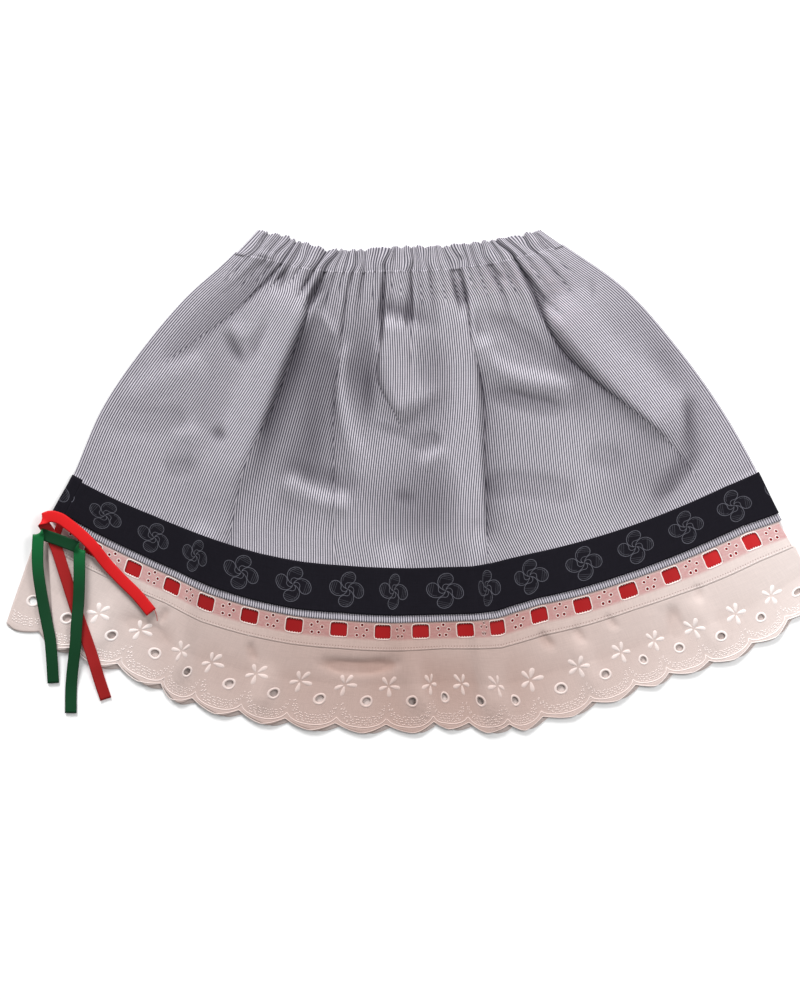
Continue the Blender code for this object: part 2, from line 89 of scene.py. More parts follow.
# How far the rows at the waist and the hem hang below those smooth rows, place by place.
SWAY_ACROSS = (
    -0.88, -0.76, -0.66, -0.56, -0.44, -0.31, -0.18, -0.06, 0.04, 0.10, 0.19,
    0.25, 0.30, 0.36, 0.47, 0.59, 0.70, 0.76, 0.84, 0.91, 1.0,
)
SWAY_ROWS = (
    # down, how far lower at each place
    (0.0, (0, 1, 4, 5, 5, 4, 1, 0, 0, 0, 0, 0, 0, 0, 0, 0, 0, 0, 0, 0, 0)),
    (50.0, (0,) * len(SWAY_ACROSS)),
    (230.0, (0,) * len(SWAY_ACROSS)),
    (285.0, (0, -1, 0, 1.5, 3, 2.7, 0.3, -0.3, 0, 0, 2, 1, -1.5, -3, -3.4, -3.6, -3.8, -3.8, -3.7, -3.3, 0)),
    (318.0, (0, 0, 0.5, 4.2, 4.2, 3.4, 1.1, 0.9, 0, 0.3, 1.2, 2, -1, -3.7, -3.6, -5, -5.4, -5.6, -5.8, -5.6, 0)),
    (376.0, (0, -3, -3, 4.2, 4.2, 3.5, 2, 0.7, 0, -2.5, 3.4, 7, 7, 5, 2.8, 0, 1.5, 6, 7.6, 6.5, 0)),
)

# Height of each layer's lower face.
LEVELS = (
    # down, back, front
    (0.0, 0.0, 4.0),
    (CASING_SEAM, 0.0, 5.2),
    (60.0, 0.0, 3.6),
    (110.0, 0.0, 2.5),
    (240.0, 0.0, 2.5),
    (BAND_TOP - 5.0, 0.0, 2.8),
    (BAND_TOP, LOWER_SIDE, 3.0),
    (BAND_BOTTOM, LOWER_SIDE, 3.6),
    (HEM_EDGE, LOWER_SIDE, 4.3),
    (HEM_EDGE + GAP, 0.0, 4.3),
    (FLOUNCE_SEAM, 0.0, 4.3),
    (362.0, 0.0, 2.0),
    (CUSP_LINE, 0.0, 1.7),
    (CUSP_LINE + 10.0, 0.0, 1.7),
)

# Ridges and, with a negative height, troughs of the front. Left and right are as one walks down the fold.
FOLDS = (
    # name, top x, y, middle x, y, bottom x, y, height at top, at bottom, reach to the left, to the right
    ("left ridge", -73, 169, -111, 87, -143, -20, 10.0, 6.0, 8, 28),
    ("thin ridge", -46, 129, -51, 75, -30, 8, 3.0, 3.0, 7, 7),
    ("centre ridge", -7, 152, -13, 100, 7, 54, 8.0, 6.0, 26, 8),
    ("centre crease", 4, 193, 4, 158, 2, 118, -2.2, -1.6, 2.5, 3),
    ("gather left of centre", -15, 193, -18, 155, -20, 112, -2.4, -1.8, 3, 3.5),
    ("long pleat", 55, 165, 58, 75, 66, -75, 4.0, 5.0, 5, 20),
    ("crescent", 68, 133, 84, 98, 154, 86, 5.0, 4.0, 8, 10),
    ("right ridge", 112, 158, 168, 94, 232, 38, 9.0, 7.0, 30, 8),
    ("gather right of centre", 45, 195, 46, 176, 52, 150, -2.4, -1.8, 3, 3),
    ("right dimple", 230, 80, 241, 36, 200, -10, -3.6, -3.0, 7, 7),
    ("left trough", -106, 190, -151, 153, -202, 100, -4.5, -2.5, 10, 9),
    ("left swell", -235, 75, -200, 92, -160, 108, 2.5, 2.0, 12, 12),
    ("left hollow", -250, 62, -215, 57, -175, 56, -2.0, -2.0, 11, 11),
    ("low cup", -104, 14, -71, -8, -40, -12, 3.5, 3.5, 9, 9),
    ("low trough", 66, 2, 105, 3, 146, -6, -2.5, -2.0, 9, 9),
    ("left tuck", -166, -22, -178, -90, -188, -172, 3.0, 3.0, 10, 7),
    ("middle tuck", -6, -40, -3, -116, 23, -200, 3.0, 2.6, 8, 12),
    ("right tuck", 66, -30, 61, -112, 82, -212, 5.0, 3.2, 14, 8),
)

# The smaller creases, in the same columns.
CREASES = (
    ("left waist crease", -55, 181, -76, 160, -85, 136, -3.0, -2.0, 4, 3),
    ("facet edge", -74, 154, -62, 137, -49, 120, 1.6, 1.6, 6, 4),
    ("centre valley", -50, 150, -62, 70, -50, -30, -2.0, -1.5, 22, 22),
    ("pressed line", -10, 176, -12, 150, -14, 128, -1.0, -0.6, 3, 3),
    ("right waist crease", 40, 197, 46, 165, 56, 121, -2.6, -1.6, 3, 3),
    ("bent crease", 67, 199, 74, 181, 92, 173, -2.2, -2.0, 3, 3),
    ("hip crease", 93, 184, 110, 163, 119, 124, -2.6, -2.0, 4, 4),
    ("thin crease", 103, 171, 121, 153, 139, 134, -1.6, -1.0, 2.5, 2.5),
    ("short crease", 110, 207, 114, 200, 117, 194, -2.0, -2.0, 3, 3),
    ("soft hollow", 59, 149, 93, 130, 121, 100, -2.0, -2.0, 7, 7),
    ("under the crescent", 65, 87, 104, 72, 142, 66, -2.6, -2.0, 8, 8),
    ("bold crease", -95, 185, -102, 173, -108, 160, -3.4, -2.0, 3, 3),
    ("flap", -133, 190, -117, 195, -105, 189, 1.6, 1.6, 3, 3),
    ("dent's left arm", -132, 101, -142, 119, -151, 137, -2.4, -1.6, 5, 5),
    ("dent's right arm", -132, 101, -121, 127, -107, 151, -2.3, -1.5, 5, 5),
    ("dent's bump", -142, 141, -137, 130, -132, 120, 2.0, 2.0, 7, 7),
    ("small dent", -160, 51, -153, 46, -147, 40, -1.6, -1.2, 5, 5),
    ("left low hollow", -202, 17, -186, 19, -169, 25, -1.6, -1.6, 7, 7),
    ("left low swell", -202, 48, -182, 47, -161, 44, 2.0, 2.0, 8, 8),
    ("low spot", -64, 22, -51, 11, -38, 0, -1.6, -1.6, 6, 6),
    ("middle hollow", 2, 36, 18, 40, 34, 43, -2.0, -2.0, 6, 6),
    ("middle swell", 7, 18, 24, 27, 40, 34, 1.6, 1.6, 6, 6),
    ("band spot", -10, -3, 1, -6, 12, -8, -1.2, -1.0, 5, 5),
    ("right low hollow", 148, 31, 167, 27, 186, 27, -1.6, -1.6, 10, 10),
    ("kink", 153, 178, 157, 167, 158, 155, -1.2, -1.0, 2.5, 2.5),
    ("right hip hollow", 205, 128, 222, 104, 236, 76, -1.8, -1.4, 9, 9),
    ("sag under the lace", -80, -139, -37, -147, 6, -139, -3.0, -3.0, 6, 5),
    ("left flounce sag", -235, -100, -214, -116, -190, -124, -1.6, -1.6, 7, 6),
    ("right flounce ripple", 140, -118, 150, -145, 168, -185, 2.0, 1.6, 9, 8),
    ("far flounce ripple", 238, -86, 250, -112, 270, -150, 1.8, 1.4, 10, 9),
    ("left flounce ripple", -240, -82, -250, -115, -262, -142, 1.8, 2.2, 8, 10),
    ("low flounce ripple", -110, -140, -116, -165, -120, -190, 1.8, 2.2, 9, 9),
    ("first seam pucker", 112, -116, 118, -124, 128, -133, -1.6, -1.4, 3.5, 5),
    ("second seam pucker", 140, -111, 146, -120, 152, -129, -1.3, -1.0, 3, 4),
    ("third seam pucker", 166, -102, 172, -109, 180, -117, -1.2, -1.0, 3, 4),
    ("far seam pucker", 242, -76, 244, -85, 247, -95, -1.2, -1.0, 3, 4),
    ("far seam wedge", 220, -92, 225, -108, 231, -128, -1.8, -1.4, 5, 7),
    ("left seam pucker", -196, -96, -199, -104, -205, -112, -1.2, -1.0, 3, 4),
    ("low seam pucker", -128, -124, -126, -134, -122, -144, -1.2, -1.0, 4, 4),
)
FOLD_STATIONS = 60
FOLD_FADE = 0.18
CREASE_FADE = 0.38

# Troughs between the ruffles under the elastic. Each swallows a little cloth, so a few stripes end in it.
TROUGHS = (
    # place across, depth, length that it runs below the seam
    (-0.951, 0.7, 25),
    (-0.919, 1.2, 30),
    (-0.823, 0.8, 40),
    (-0.772, 0.7, 25),
    (-0.728, 1.5, 45),
    (-0.683, 1.0, 30),
    (-0.613, 0.6, 20),
    (-0.538, 1.3, 30),
    (-0.472, 1.4, 60),
    (-0.405, 0.6, 35),
    (-0.358, 0.7, 25),
    (-0.306, 1.1, 45),
    (-0.239, 1.0, 25),
    (-0.172, 0.8, 30),
    (-0.115, 0.9, 75),
    (-0.070, 0.6, 20),
    (-0.019, 0.5, 25),
    (0.040, 0.9, 80),
    (0.099, 0.5, 30),
    (0.159, 0.8, 25),
    (0.230, 0.6, 35),
    (0.303, 1.3, 30),
    (0.341, 1.3, 60),
    (0.395, 0.7, 20),
    (0.460, 1.0, 30),
    (0.540, 1.4, 35),
    (0.611, 0.6, 40),
    (0.698, 1.3, 60),
    (0.754, 0.8, 30),
    (0.841, 1.1, 45),
    (0.902, 0.9, 30),
)
RUFFLE = 3.0
RUFFLE_CREST = 0.62
RUFFLE_ROUNDNESS = 0.6
RUFFLE_RIPPLE = 0.12
RUFFLE_RIPPLE_TURNS = 2.6
RUFFLE_FADE = 1.3
SIDE_TROUGH = 0.4
BROAD_FADE = 36.0
BACK_GATHER = 0.5
BACK_GATHER_RUN = 70.0
ROLL_POWER = 12
FLAT_SIDE_POWER = 8

# Uneven waves over the width of the waist.
BROAD_GATHERS = (
    # amount, turns, how much and how often the turns sway, start
    (1.2, 23, 4, 3.1, 0),
)
EDGE_JAGS = ((0.6, 47, 3, 5, 0), (0.35, 109, 0, 0, 1.3))
RUFFLE_LEANS = ((0.016, 13, 0, 0, 1.9), (0.013, 31, 2, 4, 0))
RUFFLE_BOWS = ((0.0034, 57, 2, 9, 0), (0.009, 19, 0, 0, 1.0))

# The main pleats, which swallow most of the spare cloth. Each starts in a trough and moves sideways on its way
# down. Past its run, the stripes of its two sides meet again.
PLEAT_ROWS = (20, 50, 80, 110, 140, 170, 200, 266)
PLEATS = (
    # name, share of the spare cloth, run, places across at those lengths down
    ("left trough", 0.06, 150, (-0.728, -0.76, -0.80, -0.86, -0.91, -0.93, -0.93, -0.93)),
    ("left wall", 0.26, 312, (-0.472, -0.475, -0.477, -0.482, -0.490, -0.513, -0.530, -0.530)),
    ("thin ridge", 0.10, 312, (-0.306, -0.300, -0.290, -0.280, -0.270, -0.250, -0.235, -0.210)),
    ("centre crease", 0.07, 160, (-0.115, -0.110, -0.110, -0.110, -0.030, 0.030, 0.050, 0.050)),
    ("long pleat", 0.18, 312, (0.341, 0.330, 0.306, 0.310, 0.300, 0.277, 0.262, 0.237)),
    ("right wall", 0.33, 250, (0.698, 0.678, 0.642, 0.650, 0.705, 0.765, 0.815, 0.870)),
)
TROUGH_SHARE = 0.007
LEAST_SHARE = 1e-5
EVEN_SHARE = 0.05
PLEAT_HALF = 0.0045
PLEAT_DEPTH = 1.1
CREASE_SHADE = 0.55
CREASE_WIDTH = 1.6 * PLEAT_HALF
SOFT_CREASE = 0.25
TROUGH_CREASE = 0.35

# Cloth taken up by the tucks that cross the trims: place across, length taken up, half width across.
TUCKS = ((-0.60, 7.0, 0.03), (-0.02, 6.0, 0.03), (0.215, 11.0, 0.02))
# Places across of the tape's motifs, the beading's windows, and the flounce's eyelets and the flowers between them.
MOTIF_PITCH = 43.4
MOTIF_PLACES = (-0.882, -0.737, -0.615, -0.48, -0.327, -0.166, -0.03, 0.115, 0.228, 0.347, 0.498, 0.639, 0.78, 0.911)
END_MOTIF_SHIFT = 10.0
BAND_LAP = -0.976
LACE_PITCH = 36.5
WINDOW_WIDTH = 14.0
WINDOW_PLACES = (
    -0.878, -0.763, -0.656, -0.56, -0.436, -0.31, -0.184, -0.059, 0.044, 0.161, 0.243,
    0.355, 0.467, 0.589, 0.701, 0.809, 0.911,
)
EYELET_PLACES = (
    -0.987, -0.876, -0.759, -0.646, -0.564, -0.453, -0.337, -0.218, -0.096, 0.022, 0.099,
    0.188, 0.274, 0.39, 0.499, 0.593, 0.682, 0.786, 0.885, 0.975,
)
FLOWER_PLACES = (
    -0.932, -0.82, -0.71, -0.60, -0.521, -0.403, -0.286, -0.164, -0.043, 0.069, 0.15,
    0.243, 0.325, 0.445, 0.552, 0.634, 0.732, 0.837, 0.925,
)
PATTERN_LEAN = 0.0008
PATTERN_SIDES = (-1.03, 0.998)
# One even shade painted on the back's trims and stitches, and on the red tie's frayed thread.
BACK_PAINTED_SHADE = 0.3
BACK_SHIFT = 7.5
BEADING_SIDES = (-0.985, 0.995)
RIBBON_WIDTH = 12.4
RIBBON_HALF = RIBBON_WIDTH / 2 + 0.6
EYELETS = range(-1, 19)
EYELET_RADIUS = 2.9
EYELET_MARGIN = 6.5
SCALLOP_DEPTH = 7.5
BORDER_WIDTH = 6.8
BORDER_ARC = 9.5
BORDER_SLOPE = 0.8
BACK_FLOUNCE_LEFT = (-1.022, -1.0)
FRONT_FLOUNCE_LEFT = (-0.985, -0.885)

# Thickness of each cloth.
COTTON = 0.45
TAPE = 0.8
LACE = 0.4
SATIN = 0.35
# How far the lace runs in under the hem's edge and the flounce under the lace, and how much lower they lie there.
TUCKED_UNDER = 2.0
UNDER_HEM = 0.55
UNDER_LACE = 1.0
FLOUNCE_RISES = (
    # height by which the flounce rises again, where that starts above its seam, over what length
    (0.36, 1.2, 1.5),
    (0.14, 0.0, 9.0),
)
BORDER_RISE = 0.3
BACK_TRIM_LIFT = 0.45
TIE_LIFT = 0.4

# The ribbon ties: points x, y, z along the centre of each leg. Between two legs the ribbon turns over.
TIE_RED = (
    (
        (-209.2, -101.3, 5.8), (-220.0, -88.0, 6.6), (-234.9, -73.0, 7.0), (-244.9, -62.3, 8.0),
        (-257.3, -46.5, 10.8), (-267.3, -36.5, 11.0), (-276.4, -29.1, 10.6), (-285.5, -23.2, 10.2),
        (-293.8, -22.0, 10.0), (-300.5, -24.9, 10.0),
    ),
    (
        (-300.5, -24.9, 10.0), (-291.3, -39.2, 6.3), (-288.4, -46.5, 6.3), (-282.2, -65.6, 6.1),
        (-270.0, -103.8, 4.8), (-259.0, -135.7, 4.2), (-256.0, -145.5, 4.0), (-252.5, -157.5, 2.6),
        (-247.3, -173.5, 0.9),
    ),
)
TIE_GREEN = (
    (
        (-290.9, -160.2, 0.9), (-292.0, -137.0, 3.6), (-293.0, -125.0, 4.2), (-297.1, -103.8, 4.3),
        (-300.5, -84.7, 5.0), (-302.9, -65.6, 7.0), (-302.9, -46.0, 9.0), (-302.1, -35.7, 9.4),
    ),
    (
        (-302.1, -35.7, 9.4), (-284.0, -42.0, 7.8), (-268.1, -48.1, 8.8),
    ),
    (
        (-268.1, -48.1, 8.8), (-268.3, -58.0, 10.6), (-268.5, -72.2, 9.2), (-269.3, -91.3, 7.2),
        (-271.0, -112.0, 6.9), (-272.2, -129.5, 5.6), (-274.6, -148.0, 2.8), (-276.0, -162.0, 0.9),
        (-276.4, -185.1, 0.9),
    ),
)
TIE_WIDTH = 9.7
# Painted light and shade of the ties: light down to this y, then painted darker over this length, up to each tie's
# share.
TIE_LIGHT_TO = -38.0
TIE_DARKENS_OVER = 55.0
TIE_DARKEST_PAINTED_SHADE = {"red_tie": 0.25, "green_tie": 1.0}
TIE_STATION = 2.0
TIE_CROWN = 0.25
FOLD_STEPS = 14
FRAYED_THREAD = ((-207.0, -97.5, 6.4), (-205.8, -101.0, 6.2), (-204.6, -105.0, 5.6), (-204.4, -108.5, 5.0))
FRAYED_WIDTH = 0.5


def smooth_through(stations, values, at):
    """A smooth curve through the values at the stations, read at the given places."""
    stations = np.asarray(stations, float)
    values = np.asarray(values, float).reshape(len(stations), -1)
    at = np.asarray(at, float)
    slopes = np.gradient(values, stations, axis=0)
    i = np.clip(np.searchsorted(stations, at) - 1, 0, len(stations) - 2)
    step = (stations[i + 1] - stations[i])[..., None]
    t = ((at - stations[i]) / step[..., 0])[..., None]
    return (
        (2 * t**3 - 3 * t**2 + 1) * values[i]
        + (t**3 - 2 * t**2 + t) * step * slopes[i]
        + (3 * t**2 - 2 * t**3) * values[i + 1]
        + (t**3 - t**2) * step * slopes[i + 1]
    )


def smooth_step(t):
    """0 up to 0, 1 from 1 on, and a soft rise between."""
    t = np.clip(t, 0.0, 1.0)
    return t * t * (3.0 - 2.0 * t)


def from_table(at, table, column):
    """A column of a table, read evenly between the rows that its first column places."""
    return np.interp(at, [row[0] for row in table], [row[column] for row in table])


def stacked(*values):
    """Points whose coordinates are these values."""
    return np.stack(np.broadcast_arrays(*values), axis=-1)


def sway(across, down):
    """How far a place hangs below the smooth rows."""
    rows = [row[0] for row in SWAY_ROWS]
    heights = np.stack([np.interp(across, SWAY_ACROSS, row[1], left=0.0, right=0.0) for row in SWAY_ROWS])
    share = np.stack([np.interp(down, rows, np.eye(len(rows))[k]) for k in range(len(rows))])
    return (heights * share).sum(axis=0)


def plan(across, down):
    """Where a place on the skirt lies on the table."""
    across, down = np.broadcast_arrays(np.asarray(across, float), np.asarray(down, float))
    rows = smooth_through([row[0] for row in PLAN], [row[1:] for row in PLAN], down)
    left_x, left_y, middle_y, right_x, right_y = np.moveaxis(rows, -1, 0)
    x = across * np.where(across < 0, -left_x, right_x)
    side_y = np.where(across < 0, left_y, right_y)
    return x, middle_y + (side_y - middle_y) * across**2 - sway(across, down)


def fold_path(fold):
    """Points along a fold's crest, which runs through its three named points."""
    top, middle, bottom = (np.array(fold[k : k + 2], float) for k in (1, 3, 5))
    control = 2 * middle - (top + bottom) / 2
    t = np.linspace(0, 1, FOLD_STATIONS)[:, None]
    return (1 - t) ** 2 * top + 2 * t * (1 - t) * control + t**2 * bottom


def fold_height(fold, x, y, fade=FOLD_FADE):
    """How far one fold lifts the front at the given places."""
    height_top, height_bottom, reach_left, reach_right = fold[7:]
    path = fold_path(fold)
    heading = np.gradient(path, axis=0)
    off_x = x[..., None] - path[:, 0]
    off_y = y[..., None] - path[:, 1]
    near = np.argmin(off_x**2 + off_y**2, axis=-1)
    to_x = np.take_along_axis(off_x, near[..., None], -1)[..., 0]
    to_y = np.take_along_axis(off_y, near[..., None], -1)[..., 0]
    side = (heading[near, 0] * to_y - heading[near, 1] * to_x) / np.linalg.norm(heading[near], axis=-1)
    beyond = to_x**2 + to_y**2 - side**2
    off = np.where((near == 0) | (near == FOLD_STATIONS - 1), side**2 + beyond, side**2)
    reach = np.where(side > 0, reach_left, reach_right)
    t = near / (FOLD_STATIONS - 1)
    ends = smooth_step(t / fade) * smooth_step((1 - t) / fade)
    height = height_top + (height_bottom - height_top) * t
    return height * ends * np.exp(-off / reach**2)


def pleat_place(pleat, down):
    """Where a main pleat lies across at the given lengths down."""
    return smooth_through(PLEAT_ROWS, pleat[3], np.clip(down, PLEAT_ROWS[0], PLEAT_ROWS[-1]))[..., 0]


def pleat_lines(down):
    """Places across of the main pleats in each row, with the two side folds at their ends."""
    down = np.asarray(down, float).reshape(-1)
    lines = [pleat_place(pleat, down) for pleat in PLEATS]
    return np.stack([-np.ones(len(down)), *lines, np.ones(len(down))], axis=1)


WAIST_LINES = pleat_lines([CASING_SEAM])[0]


def leaned(columns, down):
    """Where columns that start even at the waist lie across each row. They lean with the main pleats."""
    return np.stack([np.interp(columns, WAIST_LINES, lines) for lines in pleat_lines(down)])


def upright(across, down):
    """The other way round: which column a place lies in."""
    across, down = np.broadcast_arrays(np.asarray(across, float), np.asarray(down, float))
    lines = [-np.ones(down.shape), *(pleat_place(pleat, down) for pleat in PLEATS), np.ones(down.shape)]
    columns = across.copy()
    for k, (left, right) in enumerate(zip(lines, lines[1:])):
        within = (across >= left) & (across <= right)
        turned = WAIST_LINES[k] + (across - left) / (right - left) * (WAIST_LINES[k + 1] - WAIST_LINES[k])
        columns = np.where(within, turned, columns)
    return columns


def ruffles(columns):
    """How high the gathered cloth stands in each column: 1 on a ruffle's crest, and less in a trough."""
    places = [-1.0, *(trough[0] for trough in TROUGHS), 1.0]
    turns = np.interp(columns, places, math.pi * np.array([0, *range(1, 2 * len(TROUGHS), 2), 2 * len(TROUGHS)]))
    depth = np.interp(columns, places, [SIDE_TROUGH, *(trough[1] for trough in TROUGHS), SIDE_TROUGH])
    crest = ((1 + np.cos(turns)) / 2) ** RUFFLE_ROUNDNESS
    return 1 - depth * (1 - crest) - RUFFLE_RIPPLE * (1 - np.cos(RUFFLE_RIPPLE_TURNS * turns))


def waves(columns, rows):
    """Uneven waves over the width, added up."""
    return sum(
        amount * np.sin(turns * columns + sway * np.sin(sway_turns * columns) + start)
        for amount, turns, sway, sway_turns, start in rows
    )


def off_sides(across):
    """1 over nearly the whole width, and 0 at the two side folds."""
    return 1 - across**FLAT_SIDE_POWER


def gathers(across, down):
    """How far the elastic's ruffles lift the cloth. Each runs out below the seam in its own length."""
    columns = upright(across, down)
    below = np.maximum(down - CASING_SEAM, 0)
    run = from_table(columns, TROUGHS, 2)
    ruffle = RUFFLE * (ruffles(columns) - RUFFLE_CREST) * np.exp(-RUFFLE_FADE * below / run)
    broad = np.exp(-below / BROAD_FADE) * waves(columns, BROAD_GATHERS)
    return (ruffle + broad) * off_sides(across)


def back_under(across, down):
    """Height of the back's lower face. It lies flat but for the gathers at the waist."""
    across, down = np.broadcast_arrays(np.asarray(across, float), np.asarray(down, float))
    level = from_table(down, LEVELS, 1)
    lift = BACK_GATHER * np.maximum(gathers(across, down) / RUFFLE + 1, 0)
    fade = 1 - smooth_step((down - CASING_SEAM) / BACK_GATHER_RUN)
    return level + lift * fade * off_sides(across)


def swallowed(down):
    """How much cloth each main pleat and each trough swallows, a row for each length down."""
    down = np.asarray(down, float).reshape(-1, 1)
    widest = cloth_along(HEM_EDGE, tucked=False)[1][-1]
    spare = np.array([widest - cloth_along(row, tucked=False)[1][-1] for row in down[:, 0]])
    main = [pleat[1] * np.maximum(1 - down / pleat[2], 0) ** 2 for pleat in PLEATS]
    small = [TROUGH_SHARE * np.maximum(1 - (down - CASING_SEAM) / trough[2], 0) for trough in TROUGHS]
    weights = np.concatenate(main + small, axis=1) + LEAST_SHARE
    return np.maximum(spare, 0)[:, None], weights / weights.sum(axis=1, keepdims=True)


def front_outer(across, down):
    """Height of the front's outer face, worked out from its level, gathers, folds and creases."""
    x, y = plan(across, down)
    level = from_table(down, LEVELS, 2)
    height = level + gathers(across, down)
    height += sum(fold_height(fold, x, y) for fold in FOLDS)
    height += sum(fold_height(crease, x, y, CREASE_FADE) for crease in CREASES)
    clear = back_under(across, down) + SLANTED_WALL + GAP
    at_trims = smooth_step((down - BAND_TOP) / (HEM_EDGE - BAND_TOP))
    roll = 1 - (1 - at_trims) * across**ROLL_POWER
    return np.maximum(clear + (height - clear) * roll, clear) + WALL


# The front's height, worked out once on an even map and read from it after that.
MAP_STEP = 2.0
MAP_ACROSS = np.linspace(-1, 1, 441)
MAP_DOWN = np.arange(CASING_SEAM - 4.0, CUSP_LINE + SCALLOP_DEPTH + 6.0, MAP_STEP)
FRONT_MAP = front_outer(MAP_ACROSS[None, :], MAP_DOWN[:, None])


def read_map(values, across, down):
    """A map's value at the given places, evenly between its points."""
    across, down = np.broadcast_arrays(across, down)
    column = np.clip((across + 1) / 2 * (len(MAP_ACROSS) - 1), 0, len(MAP_ACROSS) - 1.001)
    row = np.clip((down - MAP_DOWN[0]) / MAP_STEP, 0, len(MAP_DOWN) - 1.001)
    i, j = row.astype(int), column.astype(int)
    s, t = row - i, column - j
    upper = values[i, j] * (1 - t) + values[i, j + 1] * t
    lower = values[i + 1, j] * (1 - t) + values[i + 1, j + 1] * t
    return upper * (1 - s) + lower * s


def blurred(values, reaches):
    """A map evened out down and across, each over its reach in map steps."""
    for axis, reach in enumerate(reaches):
        weights = np.exp(-((np.arange(-3 * reach, 3 * reach + 1) / reach) ** 2) / 2)
        weights /= weights.sum()
        padded = np.pad(values, [(3 * reach, 3 * reach) if k == axis else (0, 0) for k in range(2)], mode="edge")
        values = np.apply_along_axis(lambda line: np.convolve(line, weights, mode="valid"), axis, padded)
    return values


# Soft shadows painted on the cloth, where it faces away from the window or lies between folds. A negative amount
# paints light.
SOFT_SHADES = (
    # name, x, y, half width, half height, turned by degrees, amount
    ("beside the left wall", -100, 85, 13, 62, -16, 0.42),
    ("left of the valley", -82, 40, 16, 70, -14, 0.28),
    ("valley", -62, 90, 24, 55, -6, 0.30),
    ("low valley", -78, 20, 26, 35, 0, 0.22),
    ("right of the thin ridge", -33, 98, 10, 42, 0, 0.34),
    ("middle", 12, 100, 34, 45, 0, 0.12),
    ("low middle", 14, -8, 46, 32, 0, 0.46),
    ("on the thin ridge", -50, 112, 9, 30, 4, 0.12),
    ("left ridge", -118, 90, 14, 60, -20, 0.08),
    ("under the waist", -40, 150, 40, 16, -15, 0.10),
    ("beside the long pleat", 73, 5, 9, 80, 4, 0.16),
    ("right of the long pleat", 105, 20, 34, 45, 8, 0.12),
    ("under the crescent", 104, 75, 36, 9, -8, 0.18),
    ("beside the right wall", 136, 94, 10, 30, 26, 0.28),
    ("right wall's foot", 205, 28, 46, 22, 22, 0.22),
    ("low right", 205, 0, 50, 22, 18, 0.20),
    ("left shoulder", -150, 60, 30, 16, -10, 0.06),
    ("left trough", -157, 144, 58, 9, 41, 0.20),
    ("wedge on the thin ridge", -29, 79, 6, 22, 0, 0.25),
    ("streak in the valley", -10, 50, 16, 4, -20, 0.30),
    ("small dent", -154, 47, 6, 8, 0, 0.30),
    ("ridge under the valley", -64, 9, 36, 11, -17, 0.26),
    ("top of the centre", -2, 145, 18, 13, 0, 0.40),
    ("between the two gathers", -6, 172, 11, 16, 0, -0.34),
    ("right of centre at the waist", 50, 180, 7, 13, 0, -0.22),
    ("left end of the waist", -100, 206, 34, 9, -8, -0.25),
    ("right dimple", 237, 55, 6, 30, 4, 0.34),
    ("right dimple's foot", 223, 8, 7, 30, -38, 0.34),
    ("right of the right wall", 210, 118, 10, 40, 32, 0.10),
)

# What the painted shade darkens: how far a place lies below what is wide and what is near around it, and a side
# steeper than one that still faces the window. The trims lie open and get less painted shade.
WIDE_REACH = (14, 22)
NEAR_REACH = (3, 5)
WIDE_HOLLOW = 0.20
NEAR_HOLLOW = 0.28
STEEP_SIDE = 0.7
OPEN_SLOPE = 0.12
OPEN_TRIMS = 0.5
OPENS_OVER = 20


def shade_map():
    """How much shade is painted at a place, from 0 to 1: how much it lies in a hollow or on a steep side, where cloth
    gathers less light, with the soft shades added.
    """
    wide, near = blurred(FRONT_MAP, WIDE_REACH), blurred(FRONT_MAP, NEAR_REACH)
    x, y = plan(MAP_ACROSS[None, :], MAP_DOWN[:, None])
    slope = np.abs(np.gradient(FRONT_MAP, axis=1) / np.gradient(x, axis=1))
    shade = WIDE_HOLLOW * (wide - near) + NEAR_HOLLOW * (near - FRONT_MAP)
    shade += STEEP_SIDE * np.maximum(slope - OPEN_SLOPE, 0)
    shade *= 1 - OPEN_TRIMS * smooth_step((MAP_DOWN - HEM_EDGE) / OPENS_OVER)[:, None]
    for name, place_x, place_y, half_x, half_y, lean, amount in SOFT_SHADES:
        cos, sin = math.cos(math.radians(lean)), math.sin(math.radians(lean))
        off_x, off_y = x - place_x, y - place_y
        along, beside = (off_x * cos + off_y * sin) / half_x, (off_y * cos - off_x * sin) / half_y
        shade += amount * np.exp(-((along**2 + beside**2) ** 1.5))
    return np.clip(shade, 0, 1)


SHADE_MAP = shade_map()


# Painted shade of the hem's trims and of the ribbon behind the lace: they lie lower and in a softer light in the
# middle, and the painted shade lightens to both ends.
RIBBON_SHADE = ((-330, 0.1), (-230, 0.4), (-170, 0.75), (-120, 0.9), (-50, 0.7), (150, 0.6), (225, 0.45), (260, 0.0))
HEM_SHADE = (
    (-330, 0.20), (-260, 0.22), (-180, 0.56), (-90, 0.74), (0, 0.85),
    (90, 0.72), (170, 0.50), (260, 0.28), (330, 0.05),
)


def trim_painted_shade(side, points):
    """How much shade is painted at points of the hem's trims. Those of the back have one even painted shade."""
    if side == "back":
        return np.full(points.shape[:-1], BACK_PAINTED_SHADE)
    return from_table(points[..., 0], HEM_SHADE, 1)


def trim_painted_shade_with_folds(side, points, across, down):
    """The same for a trim's cloth, to which the front's folds add their own painted shade."""
    tone = trim_painted_shade(side, points)
    return np.clip(read_map(SHADE_MAP, across, down) + tone, 0, 1) if side == "front" else tone


def raised(across, down, height):
    """Points above places on the skirt."""
    return stacked(*plan(across, down), height)


def front_points(across, down, above=0.0):
    """Points on the front's outer face, or a little above or below it."""
    return raised(across, down, read_map(FRONT_MAP, across, down) + above)


def back_points(across, down, above=0.0):
    """Points on the back's lower, outer face, or a little above it."""
    return raised(across, down, back_under(across, down) + above)


def run_length(*coordinates):
    """Length along a line, or along each row of a grid, from its start to each of its points."""
    steps = np.sqrt(sum(np.diff(values, axis=-1) ** 2 for values in coordinates))
    return np.concatenate([np.zeros_like(steps[..., :1]), np.cumsum(steps, axis=-1)], axis=-1)


